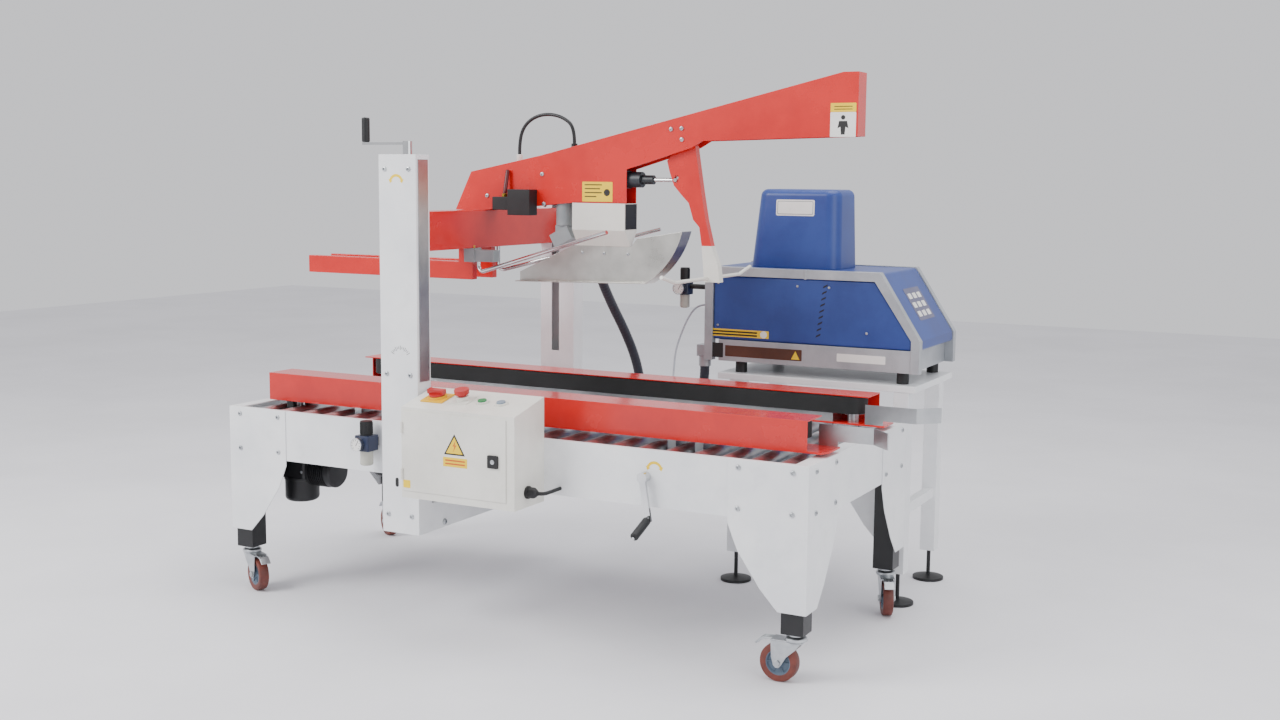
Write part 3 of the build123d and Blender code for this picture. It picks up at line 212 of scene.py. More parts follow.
def sleeve(name, path, radius, pitch, rise, sides=28):
    """A ribbed tube along path, in metres, with a UV map in metres round and along it."""
    lengths = [0.0]
    for a, b in zip(path, path[1:]):
        lengths.append(lengths[-1] + (b - a).length)
    count = int(lengths[-1] / pitch * 4)
    solid, rings, k = bmesh.new(), [], 0
    uv = solid.loops.layers.uv.new("around and along")
    across = None
    for i in range(count + 1):
        s = lengths[-1] * i / count
        while k < len(path) - 2 and lengths[k + 1] < s:
            k += 1
        t = (s - lengths[k]) / max(lengths[k + 1] - lengths[k], 1e-9)
        middle = path[k].lerp(path[k + 1], min(max(t, 0), 1))
        ahead = (path[min(k + 2, len(path) - 1)] - path[max(k - 1, 0)]).normalized()
        across = ahead.orthogonal() if across is None else across
        across = (across - ahead * across.dot(ahead)).normalized()
        other = ahead.cross(across)
        r = radius - rise * (0.5 + 0.5 * cos(tau * i / 4))
        rings.append([solid.verts.new(middle + (across * cos(tau * j / sides) + other * sin(tau * j / sides)) * r)
                      for j in range(sides)])
    for i, (a, b) in enumerate(zip(rings, rings[1:])):
        for j in range(sides):
            face = solid.faces.new((a[j], a[(j + 1) % sides], b[(j + 1) % sides], b[j]))
            face.smooth = True
            for loop, (u, v) in zip(face.loops, ((j, i), (j + 1, i), (j + 1, i + 1), (j, i + 1))):
                loop[uv].uv = (u / sides * tau * radius, v / count * lengths[-1])
    for ring in (rings[0], rings[-1]):
        solid.faces.new(ring)
    bmesh.ops.recalc_face_normals(solid, faces=solid.faces)
    mesh = bpy.data.meshes.new(name)
    solid.to_mesh(mesh)
    solid.free()
    made = bpy.data.objects.new(name, mesh)
    bpy.context.collection.objects.link(made)
    return made


# Woven polyester: matt, with a diagonal thread every 4 mm, coarser than the real 1 mm so that it shows.
braid = bpy.data.materials.new("woven polyester sleeve, black")
braid.use_nodes = True
tree = braid.node_tree
tree.nodes.clear()
along = add(tree, "ShaderNodeUVMap", uv_map="around and along")
threads = []
for angle in (38, -38):
    turned = add(tree, "ShaderNodeMapping", {"Vector": along.outputs[0], "Rotation": (0, 0, radians(angle))})
    threads.append(add(tree, "ShaderNodeTexWave", {"Vector": turned.outputs[0], "Scale": 1000 / 4 / 3.14,
                                                   "Distortion": 0.4, "Detail": 1.0}).outputs["Fac"])
woven = add(tree, "ShaderNodeMath", {0: threads[0], 1: threads[1]}, operation="MAXIMUM")
mix = add(tree, "ShaderNodeMix", {0: woven.outputs[0], 6: linear("#0B0D14"), 7: linear("#2C3140")}, data_type="RGBA")
bump = add(tree, "ShaderNodeBump", {"Height": woven.outputs[0], "Strength": 0.8, "Distance": 0.0006})
shader = add(tree, "ShaderNodeBsdfPrincipled", {"Base Color": mix.outputs[2], "Roughness": 0.72,
                                                "Normal": bump.outputs[0],
                                                "Sheen Weight": 0.25, "Sheen Roughness": 0.5})
add(tree, "ShaderNodeOutputMaterial", {"Surface": shader.outputs[0]})

hose = sleeve("hot_glue_hose", hose_line, 0.015, 0.011, 0.0007)
hose.data.materials.append(braid)
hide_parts("heated_hose")
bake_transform(hose)

# PVC: dark, slightly shiny. Polyurethane: pale, glossier.
pvc = finish("PVC cable jacket, black", "#101113", "#1B1C1F", 0.42, grain=2.0, depth=0.04)
tubing = finish("polyurethane air tube, grey-blue", "#A9B4BE", "#C3CBD2", 0.28, grain=2.0, depth=0.02)
cable_points = [(-147, 0, 1313), (-147, 0, 1356), (-130, 0, 1397), (-93, 0, 1422), (-46, 0, 1429), (2, 0, 1418),
                (38, 0, 1390), (38, 0, 1344)]
cable = route_curve("arm_lead", cable_points, 10)
cable.data.materials.append(pvc)
air_points = [(257, 457, 858), (224, 457, 858), (192, 455, 824), (168, 450, 768), (152, 439, 708), (157, 419, 645),
              (160, 404, 600), (160, 404, 562)]
air = route_curve("air_line", air_points, 6)
air.data.materials.append(tubing)
for cord, node, body, slot, points, length, diameter, stiffness in (
        (cable, "arm_cable", "head", "black_plastic", cable_points, 0.314, 0.010, "stiff"),
        (air, "air_tube", "base", "grey_plastic", air_points, 0.353, 0.006, "stiff")):
    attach(cord, body)
    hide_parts(node)

# The bed: folded sheet steel, 3 mm, powder-coated white: side and end panels, corner brackets, columns and the cross
# member that ties them below. Powder coat is softly glossy, with a fine orange-peel skin, and soiled in scattered
# patches.
powder = finish("powder coat on sheet steel, white", "#E3E5E8", "#F1F2F3", 0.36, grain=2.6, depth=0.035, patch=240,
                coat=0.15, coat_rough=0.25, soil=0.10)
leg_paint = finish("powder coat on square tube, black", "#0E0F11", "#1A1B1D", 0.4, grain=2.4, depth=0.04, soil=0.15)

# The bed's rollers are zinc-plated tube, drawn round, with black nylon bearing plugs pressed into their ends; the two
# slide shafts are ground and chromed.
def dress(material, *nodes):
    """Gives CAD nodes that keep their shape the finish of the real piece."""
    for node in nodes:
        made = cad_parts[node]
        made.data.materials.clear()
        made.data.materials.append(material)


zinc = finish("zinc plate, clear passivated", "#A9ADB1", "#C9CCCE", 0.34, grain=4, depth=0.012, patch=60, metal=1.0,
              stretch=(1, 0.06, 1), swing=0.12)
chrome = finish("hard chrome, ground", "#C9CBCD", "#DDDEDF", 0.12, grain=3, depth=0.004, patch=90, metal=1.0,
                swing=0.05)
nylon = finish("nylon, moulded, black", "#0D0D0F", "#191A1C", 0.5, grain=1.6, depth=0.03, swing=0.1)
dress(zinc, "bed_rollers")
dress(chrome, "slide_shafts")


def box(solid, x0, x1, y0, y1, z0, z1):
    """A block, added to a solid."""
    corners = [solid.verts.new((x, y, z)) for x in (x0, x1) for y in (y0, y1) for z in (z0, z1)]
    for face in ((0, 1, 3, 2), (4, 6, 7, 5), (0, 4, 5, 1), (2, 3, 7, 6), (0, 2, 6, 4), (1, 5, 7, 3)):
        solid.faces.new([corners[i] for i in face])
    return solid


def repeat(name, body, small, start, step, count, material):
    """count copies of one small shape, each a step from the last, laid out by a node tree and left as a plain mesh."""
    pattern = bpy.data.meshes.new(name + "_pattern")
    bmesh.ops.recalc_face_normals(small, faces=small.faces)
    small.to_mesh(pattern)
    small.free()
    model = bpy.data.objects.new(name + "_pattern", pattern)
    bpy.context.collection.objects.link(model)
    tree = bpy.data.node_groups.new(name + " layout", "GeometryNodeTree")
    sockets = {}
    for label, kind in (("Geometry", "NodeSocketGeometry"), ("Count", "NodeSocketInt"), ("Start", "NodeSocketVector"),
                        ("Step", "NodeSocketVector")):
        sockets[label] = tree.interface.new_socket(name=label, in_out="INPUT", socket_type=kind).identifier
    tree.interface.new_socket(name="Geometry", in_out="OUTPUT", socket_type="NodeSocketGeometry")
    given = add(tree, "NodeGroupInput").outputs
    places = add(tree, "GeometryNodeMeshLine", {"Count": given["Count"], "Start Location": given["Start"],
                                                "Offset": given["Step"]})
    copy = add(tree, "GeometryNodeObjectInfo", {"Object": model})
    spread = add(tree, "GeometryNodeInstanceOnPoints", {"Points": places.outputs["Mesh"],
                                                        "Instance": copy.outputs["Geometry"]})
    real = add(tree, "GeometryNodeRealizeInstances", {"Geometry": spread.outputs["Instances"]})
    painted = add(tree, "GeometryNodeSetMaterial", {"Geometry": real.outputs["Geometry"], "Material": material})
    add(tree, "NodeGroupOutput", {"Geometry": painted.outputs["Geometry"]})
    holder = bpy.data.objects.new(name + "_holder", bpy.data.meshes.new(name + "_holder"))
    bpy.context.collection.objects.link(holder)
    layout = holder.modifiers.new("layout", "NODES")
    layout.node_group = tree
    layout[sockets["Count"]] = count
    layout[sockets["Start"]] = tuple(start)
    layout[sockets["Step"]] = tuple(step)
    return settle(name, body, holder, model, material)


def settle(name, body, holder, model, material):
    """The node tree's result as one plain mesh in the frame's metres, riding on its body."""
    mesh = bpy.data.meshes.new_from_object(holder.evaluated_get(bpy.context.evaluated_depsgraph_get()))
    bpy.data.objects.remove(holder)
    bpy.data.objects.remove(model)
    solid = bmesh.new()
    solid.from_mesh(mesh)
    bpy.data.meshes.remove(mesh)
    return shape(name, body, solid, material)


roller_x0, roller_x1, roller_y0, roller_y1, roller_z0, roller_z1 = span("bed_rollers")
pitch = 80.0
rollers = int(round((roller_x1 - roller_x0 - 50) / pitch)) + 1
for side, end in (("near", roller_y0), ("far", roller_y1)):
    inward = 1 if side == "near" else -1
    plug = turn(bmesh.new(), (0, 0, 0), (0, -inward, 0), [(25.6, 0), (25.6, 2), (23.8, 3.2), (17, 3.4), (16, 2.4),
                                                          (11.5, 2.4), (10.6, 4.6), (7, 4.8), (6.05, 4.8)], 28)
    repeat("roller_plugs_" + side, "base", plug,
           (roller_x0 + 25, end + inward * 15.2, (roller_z0 + roller_z1) / 2), (pitch, 0, 0), rollers, nylon)

# The belt rails: red stoved enamel over folded steel, an anodised aluminium beam and two pulleys inside, and an
# endless rubber belt with a ribbed grip face. Stainless lead-in plates, satin ground, guide the cartons in.
enamel = finish("stoved enamel on sheet steel, red", "#C3140F", "#D51D16", 0.26, grain=2.8, depth=0.022, patch=220,
                coat=0.35, coat_rough=0.12, soil=0.06)
anodised = finish("anodised aluminium, natural", "#B4B7BA", "#C8CACC", 0.36, grain=6, depth=0.008, patch=120, metal=1.0,
                  stretch=(0.05, 1, 1))
ground = finish("stainless steel, satin ground", "#BDBBB5", "#D2D0CA", 0.3, grain=5, depth=0.01, patch=140, metal=1.0,
                stretch=(0.04, 1, 1), swing=0.1)
rubber = finish("belt rubber with a fabric back, black", "#0F0F10", "#1C1C1D", 0.66, grain=3.2, depth=0.12, patch=90,
                soil=0.12)
dress(enamel, "kicker_arm")
dress(anodised, "near_rail_beam", "far_rail_beam", "near_drive_pulley", "far_drive_pulley", "near_idler_pulley",
      "far_idler_pulley")
dress(rubber, "near_belt", "far_belt")
dress(chrome, "flap_rods", "kicker_rod", "lift_crank", "far_lift_screw", "width_crank")
cast = finish("machine paint on cast iron, black", "#0D0E10", "#1B1C1F", 0.45, grain=2.2, depth=0.12, soil=0.12)
dress(cast, "near_gearmotor", "far_gearmotor")
dress(nylon, "lift_grip", "width_grip")
casting = finish("grey enamel on machined steel", "#7E8487", "#969B9D", 0.4, grain=2.4, depth=0.04, soil=0.1)
dress(casting, "glue_gun")
cream = finish("powder coat on sheet steel, warm white", "#DAD8CF", "#E8E6DE", 0.34, grain=2.6, depth=0.03, patch=200,
               coat=0.1, coat_rough=0.25, soil=0.08)
dress(cream, "glue_shroud", "kicker_blade")
blue = finish("textured paint on sheet steel, blue", "#21397F", "#2A4690", 0.4, grain=1.8, depth=0.07, patch=180,
              coat=0.1, coat_rough=0.3)
red_abs = finish("ABS, moulded, red", "#A80D0C", "#BE1512", 0.3, grain=1.6, depth=0.02, coat=0.2)
green_abs = finish("ABS, moulded, green", "#0E7A43", "#138A4E", 0.32, grain=1.6, depth=0.02)
grey_abs = finish("ABS, moulded, grey-blue", "#7D8D9C", "#90A0AE", 0.34, grain=1.6, depth=0.02)
dress(red_abs, "main_switch", "estop_button")
dress(green_abs, "start_button")
dress(grey_abs, "stop_button")

# Some pieces keep their CAD shape with their sharp edges eased, as folding, casting and moulding leave them.
def solids_of(node):
    """The separate solids of a CAD node, each a merged mesh in millimetres with its middle, largest first."""
    whole = bmesh.new()
    whole.from_mesh(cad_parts[node].data)
    back = (Matrix.Translation(MIDDLE) @ Matrix.Scale(0.001, 4)).inverted()
    bmesh.ops.transform(whole, matrix=back, verts=whole.verts)
    bmesh.ops.remove_doubles(whole, verts=whole.verts, dist=0.002)
    bmesh.ops.dissolve_limit(whole, angle_limit=radians(0.4), verts=whole.verts, edges=whole.edges)
    whole.verts.ensure_lookup_table()
    seen, found = set(), []
    for first in whole.verts:
        if first.index in seen:
            continue
        group, queue = [], [first]
        seen.add(first.index)
        while queue:
            v = queue.pop()
            group.append(v)
            for edge in v.link_edges:
                w = edge.other_vert(v)
                if w.index not in seen:
                    seen.add(w.index)
                    queue.append(w)
        part, twin = bmesh.new(), {}
        for v in group:
            twin[v] = part.verts.new(v.co)
        for face in {f for v in group for f in v.link_faces}:
            part.faces.new([twin[v] for v in face.verts])
        low = Vector([min(v.co[k] for v in group) for k in range(3)])
        high = Vector([max(v.co[k] for v in group) for k in range(3)])
        found.append((part, (low + high) / 2, high - low))
    whole.free()
    return sorted(found, key=lambda s: -s[2].x * s[2].y * s[2].z)


def gather(parts, into=None):
    """Several solids as one, added to a given solid if there is one. The parts are freed."""
    whole = bmesh.new() if into is None else into
    for part in parts:
        mesh = bpy.data.meshes.new("part")
        part.to_mesh(mesh)
        part.free()
        whole.from_mesh(mesh)
        bpy.data.meshes.remove(mesh)
    return whole


def ease(node, body, material, bevel):
    """All of a CAD node as one piece with eased edges."""
    joined = gather([part for part, middle, size in solids_of(node)])
    return shape(node + "_eased", body, joined, material, bevel, replaces=(node,))


for node, body, slot, material, bevel in (
        ("bed_panels", "base", "white_paint", powder, 1.2), ("leg_brackets", "base", "white_paint", powder, 1.1),
        ("cross_member", "base", "white_paint", powder, 1.5), ("top_arm", "head", "red_paint", enamel, 1.3),
        ("cross_beam", "head", "red_paint", enamel, 2.0), ("hold_down_rails", "head", "red_paint", enamel, 2.0),
        ("near_rail_cover", "near_rail", "red_paint", enamel, 1.2),
        ("far_rail_cover", "far_rail", "red_paint", enamel, 1.2),
        ("head_carriages", "head", "grey_paint", casting, 1.0), ("fold_shoe", "head", "stainless", ground, 0.6),
        ("leg_tubes", "base", "black_paint", leg_paint, 1.2), ("columns", "base", "white_paint", powder, 1.1)):
    ease(node, body, material, bevel)


# Machine screws: zinc-plated button heads with a hexagon socket, through the brackets, columns, arm and shoe.
def screw_head(radius, height):
    """A domed head with a six-sided recess, standing on its seat."""
    solid, rings = bmesh.new(), []
    rows = [(radius, 0), (radius, height * 0.35), (radius * 0.86, height * 0.78), (radius * 0.6, height)]
    for r, z in rows:
        rings.append([solid.verts.new((r * cos(tau * i / 18), r * sin(tau * i / 18), z)) for i in range(18)])
    for z in (height, height * 0.35):
        hexagon = []
        for i in range(18):
            angle = tau * i / 18
            r = radius * 0.44 * cos(tau / 12) / cos((angle % (tau / 6)) - tau / 12)
            hexagon.append(solid.verts.new((r * cos(angle), r * sin(angle), z)))
        rings.append(hexagon)
    for a, b in zip(rings, rings[1:]):
        for i in range(18):
            j = (i + 1) % 18
            solid.faces.new((a[i], a[j], b[j], b[i]))
    solid.faces.new(rings[-1])
    solid.faces.new(reversed(rings[0]))
    return solid


def set_out(name, body, small, spots, material):
    """Copies of one small shape at spots of (place, facing), laid out by a node tree and left as a plain mesh."""
    pattern = bpy.data.meshes.new(name + "_pattern")
    small.to_mesh(pattern)
    small.free()
    model = bpy.data.objects.new(name + "_pattern", pattern)
    bpy.context.collection.objects.link(model)
    points = bpy.data.meshes.new(name + "_points")
    points.from_pydata([place for place, facing in spots], [], [])
    facings = points.attributes.new("facing", "FLOAT_VECTOR", "POINT")
    for i, (place, facing) in enumerate(spots):
        facings.data[i].vector = facing
    tree = bpy.data.node_groups.new(name + " layout", "GeometryNodeTree")
    tree.interface.new_socket(name="Geometry", in_out="INPUT", socket_type="NodeSocketGeometry")
    size = tree.interface.new_socket(name="Size", in_out="INPUT", socket_type="NodeSocketFloat").identifier
    tree.interface.new_socket(name="Geometry", in_out="OUTPUT", socket_type="NodeSocketGeometry")
    given = add(tree, "NodeGroupInput").outputs
    facing = add(tree, "GeometryNodeInputNamedAttribute", {"Name": "facing"}, data_type="FLOAT_VECTOR")
    turned = add(tree, "FunctionNodeAlignRotationToVector", {"Vector": facing.outputs["Attribute"]}, axis="Z")
    copy = add(tree, "GeometryNodeObjectInfo", {"Object": model})
    spread = add(tree, "GeometryNodeInstanceOnPoints", {"Points": given["Geometry"],
                                                        "Instance": copy.outputs["Geometry"],
                                                        "Rotation": turned.outputs["Rotation"], "Scale": given["Size"]})
    real = add(tree, "GeometryNodeRealizeInstances", {"Geometry": spread.outputs["Instances"]})
    painted = add(tree, "GeometryNodeSetMaterial", {"Geometry": real.outputs["Geometry"], "Material": material})
    add(tree, "NodeGroupOutput", {"Geometry": painted.outputs["Geometry"]})
    holder = bpy.data.objects.new(name + "_holder", points)
    bpy.context.collection.objects.link(holder)
    layout = holder.modifiers.new("layout", "NODES")
    layout.node_group = tree
    layout[size] = 1.0
    return settle(name, body, holder, model, material)


spots = []
for part, middle, size in solids_of("machine_screws"):
    part.free()
    facing = (1 if middle.x > 0 else -1, 0, 0) if size.x < size.y else (0, 1 if middle.y > 0 else -1, 0)
    spots.append((middle - Vector(facing) * 2, facing))
screws = set_out("frame_screws", "base", screw_head(7, 4), spots, zinc)
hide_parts("machine_screws")
arm_face = span("top_arm")[2]
spots = [((x, y, z), (0, -1 if y < 0 else 1, 0)) for y in (arm_face, -arm_face)
         for x, z in ((362, 1381), (394, 1383), (395, 1353), (-51, 1256), (-240, 1192), (-79, 1167), (-45, 1171))]
set_out("arm_screws", "head", screw_head(6.5, 4), spots, zinc)
spots = [((x, y, 1033), (0, -1 if y < 0 else 1, 0)) for y in (-2, 2) for x in (67, 139, 216)]
set_out("shoe_screws", "head", screw_head(4.5, 3), spots, zinc)

# Casters: a pressed and zinc-plated swivel fork with a foot brake, a polyurethane tread on a nylon wheel centre.
TRAIL, WHEEL_R = 42, 50


def slab(solid, outline, y0, y1):
    """An outline of (x, z) millimetres made into a plate from y0 to y1."""
    loops = [[solid.verts.new((x, y, z)) for x, z in outline] for y in (y0, y1)]
    solid.faces.new(loops[0])
    solid.faces.new(list(reversed(loops[1])))
    for i in range(len(outline)):
        j = (i + 1) % len(outline)
        solid.faces.new((loops[0][j], loops[0][i], loops[1][i], loops[1][j]))


tread = finish("polyurethane tread, red-brown", "#5A2A22", "#74372C", 0.5, grain=3, depth=0.08, patch=40, soil=0.35)
wheel_centre = finish("nylon, moulded, blue-grey", "#4A5A6B", "#5E6F80", 0.45, grain=2, depth=0.04, soil=0.2)
for place, sx, sy, heading in (("front_right", 1, -1, 180), ("front_left", -1, -1, -25), ("rear_left", -1, 1, 150),
                               ("rear_right", 1, 1, -65)):
    stand = Matrix.Translation((sx * 885, sy * 353, 0)) @ Matrix.Rotation(radians(heading), 4, "Z")
    fork = turn(bmesh.new(), (0, 0, 106), (0, 0, 1), [(0, 0), (21, 0), (25, 2), (28, 6), (28, 12), (25, 15), (19, 17),
                                                      (19, 23.6), (0, 23.6)], 36)
    box(fork, -24, 62, -20.5, 20.5, 107, 111)
    for y0, y1 in ((-20.5, -17.5), (17.5, 20.5)):
        cheek = [(-20, 109), (60, 109), (58, 66), (52, 44), (46, 38), (38, 38), (32, 44), (18, 68), (-6, 90)]
        slab(fork, cheek, y0, y1)
    for y in (-25, 20.5):
        turn(fork, (TRAIL, y, WHEEL_R), (0, 1, 0), [(0, 0), (9, 0), (9, 4.4), (0, 4.4)], 6)
    turn(fork, (TRAIL, -17.5, WHEEL_R), (0, 1, 0), [(5.9, 0), (5.9, 35)], 20)
    slab(fork, [(58, 112), (58, 108), (84, 105), (101, 90), (105, 92.5), (88, 110)], -14, 14)
    for y in (-9, 0, 9):
        box(fork, 66, 84, y - 1.2, y + 1.2, 107, 111.6)
    bmesh.ops.transform(fork, matrix=stand, verts=fork.verts)
    shape("fork_" + place, "swivel_" + place, fork, zinc, 0.7, replaces=("caster_fork_" + place,))
    ring = [(33, -13), (45, -15), (48.5, -13.6), (50, -10), (50, 10), (48.5, 13.6), (45, 15), (33, 13), (33, -13)]
    tyre = turn(bmesh.new(), (TRAIL, 0, WHEEL_R), (0, 1, 0), ring, 56)
    bmesh.ops.transform(tyre, matrix=stand, verts=tyre.verts)
    shape("tread_" + place, "wheel_" + place, tyre, tread, replaces=("caster_wheel_" + place,))
    disc = [(6.05, -15), (11, -15), (12, -11), (15, -8), (27, -8), (31, -12.5), (33.4, -12.8), (33.4, 12.8), (31, 12.5),
            (27, 8), (15, 8), (12, 11), (11, 15), (6.05, 15), (6.05, -15)]
    centre = turn(bmesh.new(), (TRAIL, 0, WHEEL_R), (0, 1, 0), disc, 40)
    for i in range(6):
        rib = box(bmesh.new(), 12, 30, -10.5, 10.5, -1.6, 1.6)
        spoke = Matrix.Translation((TRAIL, 0, WHEEL_R)) @ Matrix.Rotation(tau * i / 6, 4, "Y")
        bmesh.ops.transform(rib, matrix=spoke, verts=rib.verts)
        gather([rib], centre)
    bmesh.ops.transform(centre, matrix=stand, verts=centre.verts)
    shape("wheel_centre_" + place, "wheel_" + place, centre, wheel_centre)

# Gearmotors: cast housings in black machine paint, with cooling fins round the motor can and a fan cover on its end.
for side in ("near", "far"):
    body = side + "_rail"
    x0, x1, y0, y1, z0, z1 = span(side + "_gearmotor")
    axis_y, axis_z = (y0 + y1) / 2, 354.0
    fin = turn(bmesh.new(), (0, 0, 0), (1, 0, 0), [(44.5, 0), (49.5, 0.4), (49.5, 2), (44.5, 2.6), (44.5, 0)], 40)
    repeat(side + "_motor_fins", body, fin, (x0 + 112, axis_y, axis_z), (7.5, 0, 0), 8, cast)
    cover = turn(bmesh.new(), (x1 - 22, axis_y, axis_z), (1, 0, 0), [(44.8, 0), (48, 0), (48, 17), (44, 21.9),
                                                                    (40, 22.4), (0, 22.4)], 40)
    shape(side + "_fan_cover", body, cover, cast)
    lead_box = box(bmesh.new(), x0 + 116, x0 + 168, axis_y - 24, axis_y + 24, axis_z + 40, axis_z + 62)
    shape(side + "_terminal_box", body, lead_box, cast, 3)
    profile = [(51, 0), (54.5, 1), (54.5, 7), (51, 8), (51, 0)]
    rim = turn(bmesh.new(), (x0 + 52, axis_y, z0 + 66), (0, 0, 1), profile, 44)
    shape(side + "_cover_rim", body, rim, cast)
    spots = [((x0 + 12 + dx, y, z), (0, -1 if y < axis_y else 1, 0)) for y in (axis_y - 50, axis_y + 50)
             for dx in (0, 80) for z in (352, 478)]
    set_out(side + "_gearbox_screws", body, screw_head(4.5, 3), spots, zinc)

# Printed marks: screen-printed vinyl, 0.4 mm thick, on the painted faces. They show arrows, bars and a plain bolt only.
yellow_vinyl = finish("vinyl label, yellow", "#EFC400", "#F6D21A", 0.4, grain=4, depth=0.01)
white_vinyl = finish("vinyl label, white", "#E4E3DE", "#EFEEEA", 0.4, grain=4, depth=0.01)
# This black is the print, and on the vent slots and the cable slot it is painted shade.
ink = finish("screen-print ink and painted shade, black", "#141414", "#1E1E1E", 0.5, grain=4, depth=0.01)
orange_ink = finish("screen-print ink, orange", "#C2530D", "#D1621A", 0.45, grain=4, depth=0.01)


def flat(solid, outline, corner, across, up, low, high):
    """An outline of (u, v) millimetres in a label's plane, made into a plate from low to high above the surface."""
    corner, across, up = Vector(corner), Vector(across), Vector(up)
    out = across.cross(up)
    rows = [[solid.verts.new(corner + across * u + up * v + out * h) for u, v in outline] for h in (low, high)]
    solid.faces.new(list(reversed(rows[0])))
    solid.faces.new(rows[1])
    for i in range(len(outline)):
        j = (i + 1) % len(outline)
        solid.faces.new((rows[0][i], rows[0][j], rows[1][j], rows[1][i]))
    return solid


def circle(u, v, r, count):
    """The outline of a disc."""
    return [(u + r * cos(tau * k / count), v + r * sin(tau * k / count)) for k in range(count)]


def card(u0, u1, v0, v1, r=2.0):
    """The outline of a card with rounded corners."""
    return [(cu + r * cos(a), cv + r * sin(a)) for cu, cv, start in ((u1 - r, v1 - r, 0), (u0 + r, v1 - r, 90),
                                                                      (u0 + r, v0 + r, 180), (u1 - r, v0 + r, 270))
            for a in (radians(start + k * 22.5) for k in range(5))]


def curved_arrow(radius, width, start=22, stop=158):
    """A double-ended arrow bent round an arc, opening downward."""
    arc = [radians(start + (stop - start) * k / 16) for k in range(17)]
    outer = [((radius + width / 2) * cos(a), (radius + width / 2) * sin(a)) for a in arc]
    inner = [((radius - width / 2) * cos(a), (radius - width / 2) * sin(a)) for a in arc]

    def head(a, way):
        tip = a + way * radians(24)
        return [((radius - width) * cos(a), (radius - width) * sin(a)), (radius * cos(tip), radius * sin(tip)),
                ((radius + width) * cos(a), (radius + width) * sin(a))]
    return outer + list(reversed(head(arc[-1], 1))) + list(reversed(inner)) + list(head(arc[0], -1))


col_x0, col_x1, col_y0 = span("columns")[:3]
FACE = ((1, 0, 0), (0, 0, 1))                   # across and up of a face that looks at the operator
VINYL, PRINT = (0, 0.4), (0.4, 0.6)             # how high a label's vinyl and the print on it stand
marks = flat(bmesh.new(), curved_arrow(20, 7), (col_x0 + 58, col_y0, 1229), *FACE, *VINYL)
flat(marks, curved_arrow(20, 7), (504, span("bed_panels")[2], 508), *FACE, *VINYL)
shape("turning_arrows", "base", marks, yellow_vinyl, sharp=20)
scale = bmesh.new()
for k in range(13):
    angle = radians(30 + 10 * k)
    inner, outer = (27, 34) if k % 3 else (24, 36)
    side = Vector((-sin(angle), cos(angle))) * 0.6
    ends = [Vector((cos(angle), sin(angle))) * r for r in (inner, outer)]
    flat(scale, [tuple(ends[0] - side), tuple(ends[1] - side), tuple(ends[1] + side), tuple(ends[0] + side)],
         (col_x0 + 66, col_y0, 752), *FACE, 0, 0.3)
shape("setting_dial", "base", scale, ink)
# The cable slot in the column is a thin black plate: painted shade where the hole is.
slot_shade = flat(bmesh.new(), card(-5.5, 5.5, -13, 13, 5.4), (col_x0 + 50, col_y0, 407), *FACE, 0, 0.5)
shape("cable_slot", "base", slot_shade, ink)
strip = box(bmesh.new(), col_x1, col_x1 + 1.5, col_y0 + 8, col_y0 + 54, 690, 1292)
shape("height_strip", "base", strip, anodised, 0.4)
tick = box(bmesh.new(), 0, 0.5, -20, 20, -1.6, 1.6)
repeat("height_marks", "base", tick, (col_x1 + 1.5, col_y0 + 31, 700), (0, 0, 12), 49, anodised)
set_out("member_bolts", "base", screw_head(9, 6),
        [((col_x1, y, 280), (1, 0, 0)) for y in (-330, -60, 60, 330)], zinc)


def split(node, body, choose):
    """A CAD node as one eased piece for each material. choose(middle, size) gives a solid's (slot, material, bevel)."""
    kinds = {}
    for part, middle, size in solids_of(node):
        kinds.setdefault(choose(middle, size), []).append(part)
    for number, ((slot, material, bevel), parts) in enumerate(kinds.items()):
        shape(f"{node}_{number}", body, gather(parts), material, bevel, replaces=() if number else (node,))


def front(node, x, z):
    """How far towards the operator a CAD node's surface stands at x and z, in millimetres."""
    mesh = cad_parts[node].data
    tree = BVHTree.FromPolygons([v.co for v in mesh.vertices], [p.vertices for p in mesh.polygons])
    return (tree.ray_cast(at(x, -1500, z), (0, 1, 0))[0].y - MIDDLE.y) * 1000


# The folding head: a red arm with two printed labels, a white valve block with black coils and a maroon air hose, a
# second valve with a brass elbow over the flap rods, and a thin black plate of painted shade in the open end of the
# shroud.
slate = finish("cast zinc, painted dark slate", "#1E2226", "#2B3036", 0.4, grain=2, depth=0.03, soil=0.1)
white_abs = finish("ABS, moulded, white", "#D6D5CE", "#E5E4DE", 0.4, grain=3, depth=0.02)
brass = finish("brass, turned", "#A9822F", "#C9A248", 0.25, metal=1.0, grain=1, depth=0.02)
maroon = finish("PVC air hose, dark red", "#4E0B12", "#63121A", 0.35, grain=3, depth=0.02)
split("air_valves", "head", lambda middle, size: ("white_paint", white_abs, 1.2) if middle.z > 1120 and middle.x < -140
      else ("black_plastic", nylon, 1.5) if middle.x > -215 else ("zinc", casting, 1.2))
split("kicker_cylinder", "head", lambda middle, size: ("black_plastic", slate, 0.8))
nuts = turn(bmesh.new(), (-251, -92, 1040), (0, 0, 1), [(0, 0), (8, 0), (8, 8), (5, 9), (5, 15), (0, 15)], 6)
turn(nuts, (-167, -50, 1190), (0, 0, 1), [(0, 0), (8, 0), (8, 9), (0, 9)], 6)
shape("valve_unions", "head", nuts, brass, 0.5)
loop = turn(bmesh.new(), (-167, -50, 1199), (0.06, 0.16, 1), [(0, 0), (6, 0), (6, 66), (4, 70), (0, 70)], 20)
shape("valve_hose", "head", loop, maroon)
